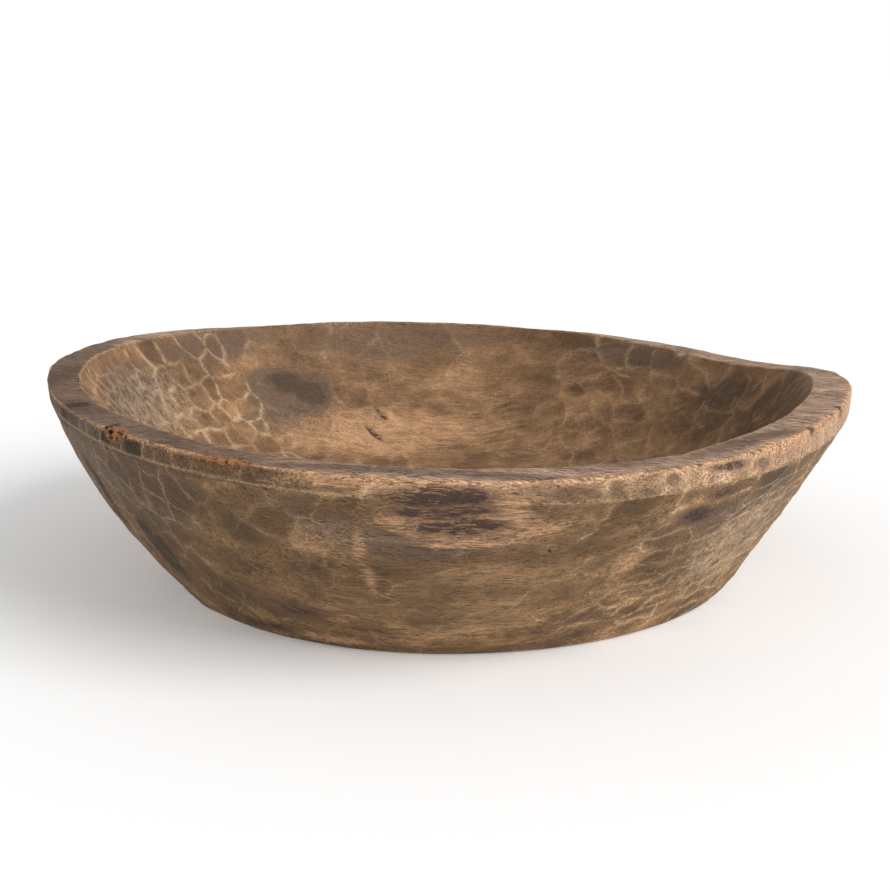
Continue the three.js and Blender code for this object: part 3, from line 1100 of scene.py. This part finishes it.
    def ridges(self, grid: Grid) -> tuple[Array, Array]:
        """Works out, corner by corner, how far the nearest ridge between two cuts is.

        Args:
            grid: The bare outline.

        Returns:
            The signed distances in millimetres, and the tones of the cuts on either side.
        """
        far = 9.0
        distance = np.full((len(grid.triangles), 3), far)
        tones = np.zeros((len(grid.triangles), 2))
        kinds = grid.face[grid.triangles]
        corners = self.crooked(grid.points)[grid.triangles]
        highest = kinds.max(axis=1)
        for cuts, faces in (
            (self.outside, (Face.FOOT, Face.WALL)),
            (self.banded, (Face.BAND,)),
            (self.hollowed, (Face.HOLLOW,)),
            (self.beneath, (Face.UNDERSIDE,)),
        ):
            here = np.isin(highest, [face.value for face in faces])
            gap, tone = cuts.ridge_distance(corners[here].mean(axis=1), corners[here])
            distance[here] = np.clip(gap / MM, -far, far)
            tones[here] = tone
        return distance, tones

    def edges(self, grid: Grid) -> Array:
        """Measures how far each point is from the rim's outer edge, its inner edge and the band's lower edge.

        Args:
            grid: The bare outline.

        Returns:
            The three distances in millimetres.
        """
        cut = self.shape.section(grid.azimuth)
        flat = np.stack((np.hypot(grid.points[:, 0], grid.points[:, 1]), grid.points[:, 2]), axis=-1)
        gaps = [np.linalg.norm(flat - corner, axis=-1) for corner in (cut.rim, cut.inner, cut.band)]
        gaps[0] = gaps[0] * np.where(self.on(grid, Face.RIM), self.top_wear, 1.0)
        return np.stack(gaps, axis=-1) / MM

    def build(self) -> bpy.types.Object:
        """Makes the carved mesh, with the attributes that the finish reads.

        Returns:
            The bowl's object, at the origin.
        """
        self.outside = Cuts.carve(self.shape, self.outside_cuts, 21)
        self.banded = Cuts.carve(self.shape, self.band_cuts, 22)
        self.hollowed = Cuts.carve(self.shape, self.hollow_cuts, 23)
        self.beneath = Cuts.carve(self.shape, self.underside_cuts, 24)
        grid = self.grid()
        carved, masks = self.carve(grid)
        distance, tones = self.ridges(grid)
        mesh = bpy.data.meshes.new("carved_bowl")
        mesh.from_pydata(carved, [], grid.triangles)
        mesh.shade_smooth()
        # The band's zone fades by azimuth away from the right front: painted light, so the band is paler on the side
        # the key light falls on.
        zones = np.stack(
            (
                self.on(grid, Face.OUTER_EDGE, Face.RIM, Face.INNER_EDGE),
                self.on(grid, Face.BAND, Face.OUTER_EDGE) * self.shape.painted_light_band.at(grid.azimuth),
                self.on(grid, Face.HOLLOW, Face.INNER_EDGE),
            ),
            axis=-1,
        ).astype(float)
        for name in ("stains", "wear", "marks"):
            self.store(mesh, name, "FLOAT_VECTOR", "POINT", masks[name])
        self.store(mesh, "zones", "FLOAT_VECTOR", "POINT", zones)
        self.store(mesh, "edges", "FLOAT_VECTOR", "POINT", self.edges(grid))
        for name in ("ridge_wear", "end_grain"):
            self.store(mesh, name, "FLOAT", "POINT", masks[name])
        self.store(mesh, "ridge", "FLOAT", "CORNER", distance)
        side_tones = np.concatenate((tones, 0 * tones[:, :1]), axis=1)
        self.store(mesh, "tones", "FLOAT_VECTOR", "FACE", side_tones)
        bowl = bpy.data.objects.new("carved_bowl", mesh)
        bpy.context.collection.objects.link(bowl)
        log.info("carved bowl: %d points, %d triangles", len(carved), len(grid.triangles))
        return bowl

    @staticmethod
    def store(mesh: bpy.types.Mesh, name: str, kind: str, domain: str, values: Array) -> None:
        """Writes one attribute into the mesh."""
        layer = mesh.attributes.new(name, kind, domain)
        layer.data.foreach_set("value" if kind == "FLOAT" else "vector", values.astype(np.float32).ravel())


# --------------------------------------------------------------------------------------------------
# Finishes
# --------------------------------------------------------------------------------------------------


class Sheet:
    """Adds nodes to one node tree and links them, so that a finish reads as a list of steps."""

    def __init__(self, tree: bpy.types.NodeTree) -> None:
        """Starts with an empty tree.

        Args:
            tree: The tree of a material or of a node group.
        """
        self.tree = tree
        tree.nodes.clear()

    def add(self, kind: str, **settings: object) -> bpy.types.Node:
        """Adds a node of a kind, with its settings."""
        node = self.tree.nodes.new(kind)
        for name, value in settings.items():
            setattr(node, name, value)
        return node

    def put(self, target: Socket, value: object) -> None:
        """Links a socket to an input, or sets the input to a plain value."""
        if isinstance(value, bpy.types.NodeSocket):
            self.tree.links.new(value, target)
        elif isinstance(value, tuple) and len(value) == 3 and target.type == "RGBA":
            target.default_value = (*value, 1.0)
        else:
            target.default_value = value

    def maths(self, operation: str, *values: object, clamp: bool = False) -> Socket:
        """Works on one, two or three numbers."""
        node = self.add("ShaderNodeMath", operation=operation, use_clamp=clamp)
        for target, value in zip(node.inputs, values, strict=False):
            self.put(target, value)
        return node.outputs[0]

    def vector(self, operation: str, *values: object) -> Socket:
        """Works on vectors, and returns a vector."""
        node = self.add("ShaderNodeVectorMath", operation=operation)
        for target, value in zip(node.inputs, values, strict=False):
            self.put(target, value)
        return node.outputs[0]

    def mix(self, factor: object, first: object, second: object, blend_type: str = "MIX") -> Socket:
        """Mixes two colours."""
        node = self.add("ShaderNodeMix", data_type="RGBA", blend_type=blend_type)
        for name, value in (("Factor_Float", factor), ("A_Color", first), ("B_Color", second)):
            self.put(next(s for s in node.inputs if s.identifier == name), value)
        return next(s for s in node.outputs if s.identifier == "Result_Color")

    def ramp(self, value: object, start: object, end: object, low: float = 0.0, high: float = 1.0) -> Socket:
        """Maps a number smoothly from start..end to low..high."""
        node = self.add("ShaderNodeMapRange", interpolation_type="SMOOTHSTEP")
        for name, part in (("Value", value), ("From Min", start), ("From Max", end), ("To Min", low), ("To Max", high)):
            self.put(node.inputs[name], part)
        return node.outputs[0]

    def noise(self, place: object, scale: tuple[float, float, float], detail: float, rough: float) -> Socket:
        """Reads noise at a place in millimetres, with its own scale along each axis."""
        node = self.add("ShaderNodeTexNoise", noise_dimensions="3D")
        self.put(node.inputs["Vector"], self.vector("MULTIPLY", place, scale))
        node.inputs["Scale"].default_value = 1.0
        node.inputs["Detail"].default_value = detail
        node.inputs["Roughness"].default_value = rough
        return node.outputs[0]

    def attribute(self, name: str) -> bpy.types.Node:
        """Reads one of the mesh's attributes."""
        return self.add("ShaderNodeAttribute", attribute_type="GEOMETRY", attribute_name=name)

    def parts(self, vector: Socket) -> tuple[Socket, Socket, Socket]:
        """Splits a vector into its three numbers."""
        node = self.add("ShaderNodeSeparateXYZ")
        self.put(node.inputs[0], vector)
        return tuple(node.outputs)

    def use(self, group: bpy.types.NodeTree, **values: object) -> bpy.types.Node:
        """Places a node group, with values for its inputs, whose names have underscores for spaces."""
        node = self.add("ShaderNodeGroup")
        node.node_tree = group
        for name, value in values.items():
            self.put(node.inputs[name.replace("_", " ")], value)
        return node


@dataclass(frozen=True)
class Port:
    """A named socket of a node group."""

    name: str
    kind: str
    default: object = None


def start_group(name: str, inputs: tuple[Port, ...], outputs: tuple[Port, ...]) -> tuple[Sheet, Socket, Socket]:
    """Makes an empty node group with named sockets.

    Args:
        name: The group's name.
        inputs: Its inputs.
        outputs: Its outputs.

    Returns:
        The sheet, the group's input sockets and the group's output sockets.
    """
    tree = bpy.data.node_groups.new(name, "ShaderNodeTree")
    for port in inputs:
        socket = tree.interface.new_socket(name=port.name, in_out="INPUT", socket_type=port.kind)
        if port.default is not None:
            socket.default_value = port.default
    for port in outputs:
        tree.interface.new_socket(name=port.name, in_out="OUTPUT", socket_type=port.kind)
    sheet = Sheet(tree)
    return sheet, sheet.add("NodeGroupInput").outputs, sheet.add("NodeGroupOutput").inputs


NUMBER, VECTOR, COLOUR = "NodeSocketFloat", "NodeSocketVector", "NodeSocketColor"


def figure_group() -> bpy.types.NodeTree:
    """Makes the wood's figure from a place in mm: noise stretched along the grain, and round mottling.

    The place is pushed sideways by slow noise, so that the grain wavers. Fibres, streaks and bands are the
    same noise at three sizes, pores are the highest parts of a fourth, uprights run up the edge of the rim
    and strokes run slantwise over it.
    """
    along = ("Fibres", "Streaks", "Bands", "Pores")
    names = (*along, "Mottle", "Clouds", "Flecks", "Specks", "Uprights", "Strokes", "Gaps")
    sheet, inside, out = start_group("wood figure", (Port("Place", VECTOR),), tuple(Port(n, NUMBER) for n in names))
    place = inside["Place"]
    slow = sheet.add("ShaderNodeTexNoise", noise_dimensions="3D")
    sheet.put(slow.inputs["Vector"], sheet.vector("MULTIPLY", place, (0.012, 0.02, 0.02)))
    slow.inputs["Scale"].default_value = 1.0
    slow.inputs["Detail"].default_value = 3.0
    push = sheet.vector("MULTIPLY", sheet.vector("SUBTRACT", slow.outputs["Color"], (0.5, 0.5, 0.5)), (0.0, 20.0, 20.0))
    wavy = sheet.vector("ADD", place, push)
    sheet.put(out["Fibres"], sheet.noise(wavy, (0.1, 1.25, 1.25), 5.0, 0.76))
    sheet.put(out["Streaks"], sheet.noise(wavy, (0.035, 0.34, 0.34), 4.0, 0.62))
    sheet.put(out["Bands"], sheet.noise(wavy, (0.016, 0.09, 0.09), 3.0, 0.55))
    sheet.put(out["Pores"], sheet.ramp(sheet.noise(wavy, (0.15, 1.4, 1.4), 1.0, 0.5), 0.58, 0.66))
    sheet.put(out["Mottle"], sheet.noise(place, (0.05, 0.065, 0.065), 6.0, 0.66))
    sheet.put(out["Clouds"], sheet.noise(place, (0.017, 0.02, 0.02), 3.0, 0.55))
    sheet.put(out["Flecks"], sheet.noise(place, (0.2, 0.24, 0.24), 4.0, 0.7))
    sheet.put(out["Specks"], sheet.noise(place, (0.9, 1.4, 1.4), 3.0, 0.65))
    sheet.put(out["Uprights"], sheet.noise(place, (0.85, 0.85, 0.06), 3.0, 0.6))
    sheet.put(out["Gaps"], sheet.noise(place, (0.06, 0.08, 0.08), 2.0, 0.5))
    slant = sheet.add("ShaderNodeMapping", vector_type="POINT")
    sheet.put(slant.inputs["Vector"], place)
    slant.inputs["Rotation"].default_value = (0.0, 0.0, math.radians(32.0))
    sheet.put(out["Strokes"], sheet.ramp(sheet.noise(slant.outputs[0], (0.12, 1.05, 0.5), 3.0, 0.6), 0.53, 0.60))
    return sheet.tree


def tint_group() -> bpy.types.NodeTree:
    """Makes a wood colour: from dark over middle to light, as a sum of the figure's parts rises."""
    parts = {"Streaks": 0.95, "Bands": 0.9, "Mottle": 1.35, "Clouds": 0.9}
    colours = (Port("Dark", COLOUR), Port("Middle", COLOUR), Port("Light", COLOUR))
    inputs = (*colours, Port("Along", NUMBER, 1.0), *(Port(n, NUMBER, 0.5) for n in parts))
    sheet, inside, out = start_group("wood tint", inputs, (Port("Colour", COLOUR),))
    total = 0.5
    for name, share in parts.items():
        share = sheet.maths("MULTIPLY", inside["Along"], share) if name in ("Streaks", "Bands") else share
        lift = sheet.maths("MULTIPLY", sheet.maths("SUBTRACT", inside[name], 0.5), share)
        total = sheet.maths("ADD", total, lift)
    lower = sheet.mix(sheet.maths("MULTIPLY", total, 2.0, clamp=True), inside["Dark"], inside["Middle"])
    double = sheet.maths("MULTIPLY", total, 2.0)
    upper = sheet.maths("SUBTRACT", double, 1.0, clamp=True)
    sheet.put(out["Colour"], sheet.mix(upper, lower, inside["Light"]))
    return sheet.tree


def patch_group() -> bpy.types.NodeTree:
    """Breaks a soft mask up: the mask grows or shrinks with the noise, and covers where it is over a half."""
    inputs = (Port("Mask", NUMBER), Port("Break up", NUMBER, 0.5), Port("Contrast", NUMBER, 4.0), Port("Softness", NUMBER, 0.2))
    sheet, inside, out = start_group("broken patch", inputs, (Port("Cover", NUMBER),))
    swing = sheet.maths("MULTIPLY", sheet.maths("SUBTRACT", inside["Break up"], 0.5), inside["Contrast"])
    raised = sheet.maths("MULTIPLY", inside["Mask"], sheet.maths("ADD", swing, 1.0))
    low = sheet.maths("SUBTRACT", 0.5, inside["Softness"])
    high = sheet.maths("ADD", 0.5, inside["Softness"])
    sheet.put(out["Cover"], sheet.ramp(raised, low, high))
    return sheet.tree


def worn_line_group() -> bpy.types.NodeTree:
    """Makes a worn line: 1 on an edge, fading out past its width, with the width made ragged by noise."""
    inputs = (Port("Distance", NUMBER), Port("Width", NUMBER, 1.0), Port("Ragged", NUMBER, 0.5))
    sheet, inside, out = start_group("worn line", inputs, (Port("Line", NUMBER),))
    rag = sheet.maths("MULTIPLY_ADD", sheet.maths("SUBTRACT", inside["Ragged"], 0.5), 4.5, 1.0)
    reach = sheet.maths("MAXIMUM", sheet.maths("MULTIPLY", inside["Width"], rag), 0.02)
    away = sheet.maths("DIVIDE", sheet.maths("ABSOLUTE", inside["Distance"]), reach)
    sheet.put(out["Line"], sheet.ramp(away, 1.0, 0.0))
    return sheet.tree


@dataclass(frozen=True)
class WoodColours:
    """Three colours of the wood on one zone of the bowl."""

    dark: Colour
    middle: Colour
    light: Colour


@dataclass(frozen=True)
class OldWood:
    """The finish of the old, handled wood: its colours by zone, its stains and its roughness, with painted light on the
    band and painted shade on the left of the outside wall and in the deep holes.
    """

    outside: WoodColours = WoodColours(srgb(72, 53, 34), srgb(128, 98, 66), srgb(182, 145, 106))
    # The band's pale colours are painted light: they are laid on where the key light falls, and the left end keeps the
    # outside's colours.
    band: WoodColours = WoodColours(srgb(126, 97, 77), srgb(194, 156, 124), srgb(232, 197, 161))
    rim: WoodColours = WoodColours(srgb(103, 84, 72), srgb(172, 141, 119), srgb(221, 186, 154))
    hollow: WoodColours = WoodColours(srgb(82, 61, 43), srgb(138, 105, 75), srgb(184, 145, 106))
    purple: Colour = srgb(82, 60, 54)
    char: Colour = srgb(44, 33, 34)
    olive: Colour = srgb(50, 44, 31)
    grey: Colour = srgb(98, 86, 76)
    # Brown: stains, pores and grain strokes, and also the painted shade on the left of the outside wall.
    brown: Colour = srgb(74, 55, 38)
    mauve: Colour = srgb(103, 85, 72)
    orange: Colour = srgb(210, 163, 122)
    pale: Colour = srgb(200, 176, 147)
    ridge: Colour = srgb(198, 166, 130)
    # Hole: near-black inside holes and pits, partly painted shade.
    hole: Colour = srgb(22, 16, 13)
    crumble: Colour = srgb(176, 120, 78)

    def material(self) -> bpy.types.Material:
        """Builds the node material.

        Returns:
            The material, which reads Object coordinates and the mesh's attributes.
        """
        material = bpy.data.materials.new("old carved wood")
        material.use_nodes = True
        sheet = Sheet(material.node_tree)
        place = sheet.vector("SCALE", sheet.add("ShaderNodeTexCoord").outputs["Object"])
        place.node.inputs["Scale"].default_value = 1.0 / MM
        figure = sheet.use(figure_group(), Place=place).outputs
        tint, patch, line = tint_group(), patch_group(), worn_line_group()
        rim, band, hollow = sheet.parts(sheet.attribute("zones").outputs["Vector"])
        purple, olive, grey = sheet.parts(sheet.attribute("stains").outputs["Vector"])
        orange, pale, crumble = sheet.parts(sheet.attribute("wear").outputs["Vector"])
        brown, mauve, hole = sheet.parts(sheet.attribute("marks").outputs["Vector"])
        outer, inner, lower = sheet.parts(sheet.attribute("edges").outputs["Vector"])
        ridge = sheet.attribute("ridge").outputs["Fac"]
        ridge_wear = sheet.attribute("ridge_wear").outputs["Fac"]
        near_tone, far_tone, _ = sheet.parts(sheet.attribute("tones").outputs["Vector"])
        end_grain = sheet.attribute("end_grain").outputs["Fac"]
        along = sheet.maths("MULTIPLY_ADD", end_grain, -0.65, 1.0)
        along = sheet.maths("MULTIPLY", along, sheet.maths("MULTIPLY_ADD", hollow, -0.4, 1.0))
        along = sheet.maths("MULTIPLY", along, sheet.maths("MULTIPLY_ADD", rim, -0.5, 1.0))
        fibres, streaks, bands, pores = (figure[name] for name in ("Fibres", "Streaks", "Bands", "Pores"))
        mottle, clouds, specks = (figure[name] for name in ("Mottle", "Clouds", "Specks"))

        def tinted(colours: WoodColours) -> Socket:
            """Returns one zone's wood colour."""
            node = sheet.use(tint, Dark=colours.dark, Middle=colours.middle, Light=colours.light, Along=along)
            for name in ("Streaks", "Bands", "Mottle", "Clouds"):
                sheet.put(node.inputs[name], figure[name])
            return node.outputs["Colour"]

        def stained(under: Socket, mask: Socket, over: Colour, noise: Socket, contrast: float, soft: float, share: float) -> Socket:
            """Lays one broken-up stain over a colour."""
            cover = sheet.use(patch, Mask=mask, Break_up=noise, Contrast=contrast, Softness=soft).outputs["Cover"]
            return sheet.mix(sheet.maths("MULTIPLY", cover, share), under, over)

        def lined(under: Socket, distance: Socket, width: object, over: Colour, share: object) -> Socket:
            """Lays one worn line over a colour."""
            cover = sheet.use(line, Distance=distance, Width=width, Ragged=fleck).outputs["Line"]
            return sheet.mix(sheet.maths("MULTIPLY", cover, share, clamp=True), under, over)

        # Painted light: the band takes its pale colours towards the right front, where the key light falls, and the
        # outside's colours elsewhere.
        colour = sheet.mix(band, tinted(self.outside), tinted(self.band))
        colour = sheet.mix(rim, colour, tinted(self.rim))
        colour = sheet.mix(hollow, colour, tinted(self.hollow))

        # Each tool cut has its own tone, which changes at the ridge, and holds more dirt towards its middle.
        fleck = sheet.maths("MULTIPLY_ADD", specks, 0.35, sheet.maths("MULTIPLY", mottle, 0.65))
        side = sheet.ramp(ridge, -0.6, 0.6)
        tone = sheet.maths("MULTIPLY", near_tone, side)
        tone = sheet.maths("MULTIPLY_ADD", sheet.maths("SUBTRACT", 1.0, side), far_tone, tone)
        away = sheet.maths("ABSOLUTE", ridge)
        wear_here = sheet.maths("MULTIPLY", ridge_wear, sheet.ramp(clouds, 0.36, 0.56, 0.35, 1.15))
        held = sheet.maths("MINIMUM", wear_here, 0.75)
        dirt = sheet.maths("MULTIPLY", sheet.ramp(away, 0.6, 5.0), sheet.maths("MULTIPLY", held, -0.24))
        shade = sheet.maths("MULTIPLY_ADD", tone, 0.085, sheet.maths("ADD", dirt, 1.07))
        colour = sheet.vector("SCALE", colour)
        sheet.put(colour.node.inputs["Scale"], shade)

        # Stains, from the broadest to the sharpest; the brown layer also carries the painted shade on the left of the
        # outside wall.
        threads = sheet.maths("MULTIPLY_ADD", fibres, 0.55, sheet.maths("MULTIPLY", streaks, 0.45))
        colour = stained(colour, mauve, self.mauve, mottle, 3.0, 0.4, 0.78)
        colour = stained(colour, grey, self.grey, figure["Flecks"], 9.0, 0.3, 0.6)
        colour = stained(colour, brown, self.brown, threads, 8.0, 0.28, 0.62)
        sooty = sheet.maths("MULTIPLY_ADD", hollow, -0.18, 0.78)
        colour = stained(colour, olive, self.olive, mottle, 3.6, 0.28, sooty)
        colour = stained(colour, orange, self.orange, threads, 4.0, 0.4, 0.55)
        colour = stained(colour, pale, self.pale, figure["Flecks"], 7.0, 0.35, 0.36)
        strands = sheet.maths("MULTIPLY_ADD", fibres, 0.7, sheet.maths("MULTIPLY", streaks, 0.3))
        colour = stained(colour, purple, self.purple, strands, 12.0, 0.22, 0.78)
        charred = sheet.ramp(purple, 0.45, 0.9)
        colour = stained(colour, charred, self.char, strands, 14.0, 0.25, 0.75)

        # Ridges and edges that handling has rubbed pale.
        shown = sheet.maths("MULTIPLY", wear_here, sheet.ramp(figure["Gaps"], 0.4, 0.54, 0.25, 1.1))
        deepest = sheet.maths("MAXIMUM", purple, sheet.maths("MULTIPLY", olive, hollow))
        unstained = sheet.maths("SUBTRACT", 1.0, sheet.maths("MULTIPLY", deepest, 1.8), clamp=True)
        shown = sheet.maths("MULTIPLY", shown, unstained)
        halo = sheet.maths("MULTIPLY", shown, sheet.maths("MULTIPLY_ADD", hollow, 0.2, 0.2))
        colour = lined(colour, ridge, 3.0, self.ridge, halo)
        core = sheet.maths("MULTIPLY_ADD", hollow, 0.6, 0.75)
        colour = lined(colour, ridge, core, self.ridge, sheet.maths("MULTIPLY", shown, 0.58))
        outside = sheet.maths("SUBTRACT", 1.0, hollow)
        undented = sheet.maths("MULTIPLY", outside, sheet.ramp(purple, 0.85, 0.5))
        colour = lined(colour, lower, 1.2, self.ridge, sheet.maths("MULTIPLY", unstained, 0.4))
        colour = lined(colour, inner, 1.6, self.ridge, 0.42)
        broad = sheet.maths("MULTIPLY_ADD", band, 1.4, 1.9)
        colour = lined(colour, outer, broad, self.orange, sheet.maths("MULTIPLY", undented, 0.82))
        upright = sheet.maths("MULTIPLY", sheet.ramp(band, 0.45, 0.9), sheet.ramp(figure["Uprights"], 0.5, 0.7))
        colour = sheet.mix(sheet.maths("MULTIPLY", upright, 0.42), colour, self.brown)
        stroke = sheet.maths("MULTIPLY", rim, figure["Strokes"])
        colour = sheet.mix(sheet.maths("MULTIPLY", stroke, 0.6), colour, self.brown)

        # Fibres and pores show through everything, then the insect damage and holes; the near-black in the deep holes
        # and the crumble's pits is partly painted shade.
        fine = sheet.maths("MULTIPLY_ADD", hollow, -2.0, sheet.maths("MULTIPLY_ADD", rim, 0.4, 3.6))
        grain = sheet.maths("MULTIPLY", sheet.maths("SUBTRACT", fibres, 0.5), fine)
        grain = sheet.maths("MULTIPLY_ADD", sheet.maths("SUBTRACT", specks, 0.5), 1.5, grain)
        colour = sheet.vector("SCALE", colour)
        sheet.put(colour.node.inputs["Scale"], sheet.maths("ADD", grain, 1.0))
        pore = sheet.maths("MULTIPLY", pores, sheet.maths("MULTIPLY_ADD", hollow, -0.45, 0.65))
        colour = sheet.mix(pore, colour, self.brown)
        colour = stained(colour, crumble, self.crumble, specks, 3.0, 0.2, 0.85)
        pits = sheet.noise(place, (0.5, 0.6, 0.6), 2.0, 0.5)
        pit = sheet.maths("MULTIPLY", sheet.ramp(pits, 0.55, 0.62), sheet.ramp(crumble, 0.3, 0.6))
        dark = sheet.maths("MAXIMUM", sheet.maths("MULTIPLY", pit, 0.75), sheet.ramp(hole, 0.2, 1.0), clamp=True)
        colour = sheet.mix(sheet.maths("MULTIPLY", dark, 0.92), colour, self.hole)

        ridge_line = sheet.use(line, Distance=ridge, Width=1.0, Ragged=fleck).outputs["Line"]
        height = sheet.maths("MULTIPLY", fibres, 0.22)
        height = sheet.maths("MULTIPLY_ADD", streaks, 0.30, height)
        height = sheet.maths("MULTIPLY_ADD", pores, -0.08, height)
        height = sheet.maths("MULTIPLY_ADD", specks, 0.10, height)
        height = sheet.maths("MULTIPLY_ADD", sheet.maths("MULTIPLY", ridge_line, ridge_wear), 0.08, height)
        height = sheet.maths("MULTIPLY_ADD", dark, -0.8, height)
        height = sheet.maths("MULTIPLY_ADD", sheet.maths("MULTIPLY", specks, crumble), 1.0, height)
        bump = sheet.add("ShaderNodeBump")
        bump.inputs["Strength"].default_value = 0.8
        bump.inputs["Distance"].default_value = MM
        sheet.put(bump.inputs["Height"], height)

        shader = sheet.add("ShaderNodeBsdfPrincipled")
        sheet.put(shader.inputs["Base Color"], colour)
        sheet.put(shader.inputs["Roughness"], sheet.ramp(mottle, 0.3, 0.7, 0.62, 0.82))
        shader.inputs["Specular IOR Level"].default_value = 0.22
        sheet.put(shader.inputs["Normal"], bump.outputs[0])
        output = sheet.add("ShaderNodeOutputMaterial")
        sheet.put(output.inputs["Surface"], shader.outputs[0])
        return material


# --------------------------------------------------------------------------------------------------
# Studio
# --------------------------------------------------------------------------------------------------


@dataclass
class Studio:
    """The pale floor, the soft lights and the camera."""

    floor_radius: float = 60.0
    floor_colour: Colour = (0.88, 0.88, 0.88)
    floor_glow: float = 0.21
    distance: float = 0.85
    elevation: float = 13.5
    aim: tuple[float, float, float] = (-0.0029, 0.0, 0.0603)
    lens: float = 65.4
    sky: float = 0.5
    sun: float = 2.35
    sun_azimuth: float = -32.0
    sun_height: float = 35.0
    sun_softness: float = 42.0

    def floor(self) -> None:
        """Lays a plain round floor at the height of the bowl's base."""
        sides = 96
        around = np.linspace(0.0, 2.0 * np.pi, sides, endpoint=False)
        ring = np.stack((np.cos(around), np.sin(around), 0 * around), axis=1) * self.floor_radius
        mesh = bpy.data.meshes.new("floor")
        mesh.from_pydata(ring, [], [list(range(sides))])
        material = bpy.data.materials.new("studio floor")
        material.use_nodes = True
        shader = material.node_tree.nodes["Principled BSDF"]
        shader.inputs["Base Color"].default_value = (*self.floor_colour, 1.0)
        shader.inputs["Roughness"].default_value = 0.9
        shader.inputs["Emission Color"].default_value = (1.0, 1.0, 1.0, 1.0)
        shader.inputs["Emission Strength"].default_value = self.floor_glow
        mesh.materials.append(material)
        floor = bpy.data.objects.new("floor", mesh)
        bpy.context.collection.objects.link(floor)

    def surroundings(self) -> None:
        """Makes even, bright surroundings, which the camera sees as plain white."""
        world = bpy.data.worlds.new("studio")
        bpy.context.scene.world = world
        world.use_nodes = True
        sheet = Sheet(world.node_tree)
        lighting = sheet.add("ShaderNodeBackground")
        lighting.inputs["Strength"].default_value = self.sky
        white = sheet.add("ShaderNodeBackground")
        either = sheet.add("ShaderNodeMixShader")
        sheet.put(either.inputs[0], sheet.add("ShaderNodeLightPath").outputs["Is Camera Ray"])
        sheet.put(either.inputs[1], lighting.outputs[0])
        sheet.put(either.inputs[2], white.outputs[0])
        for background in (lighting, white):
            background.inputs["Color"].default_value = (1.0, 1.0, 1.0, 1.0)
        sheet.put(sheet.add("ShaderNodeOutputWorld").inputs["Surface"], either.outputs[0])

    def key_light(self) -> None:
        """Hangs one broad, distant light to the right of the camera."""
        lamp = bpy.data.lights.new("key light", "SUN")
        lamp.energy = self.sun
        lamp.angle = math.radians(self.sun_softness)
        holder = bpy.data.objects.new("key light", lamp)
        bpy.context.collection.objects.link(holder)
        tilt = math.radians(90.0 - self.sun_height)
        holder.rotation_euler = (tilt, 0.0, math.radians(self.sun_azimuth + 90.0))

    def camera(self) -> None:
        """Places the camera at its distance and elevation, looking level across the grain."""
        camera = bpy.data.cameras.new("camera")
        camera.lens = self.lens
        camera.sensor_width = 36.0
        camera.clip_end = 200.0
        holder = bpy.data.objects.new("camera", camera)
        bpy.context.collection.objects.link(holder)
        rise = math.radians(self.elevation)
        holder.location = (
            self.aim[0],
            self.aim[1] - self.distance * math.cos(rise),
            self.aim[2] + self.distance * math.sin(rise),
        )
        holder.rotation_euler = (math.pi / 2 - rise, 0.0, 0.0)
        bpy.context.scene.camera = holder

    def build(self) -> None:
        """Sets up the whole studio."""
        self.camera()
        self.floor()
        self.surroundings()
        self.key_light()
        bpy.context.scene.view_settings.view_transform = "Standard"
        log.info("studio ready")


def main() -> None:
    logging.basicConfig(level=logging.INFO, format="%(name)s: %(message)s")
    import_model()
    Studio().build()
    shape = BowlShape()
    shape.fit_to(*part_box("bowl"))
    bowl = CarvedBowl(shape).build()
    bowl.data.materials.append(OldWood().material())
    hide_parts("bowl")
    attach(bowl, "root")


if __name__ == "__main__":
    main()
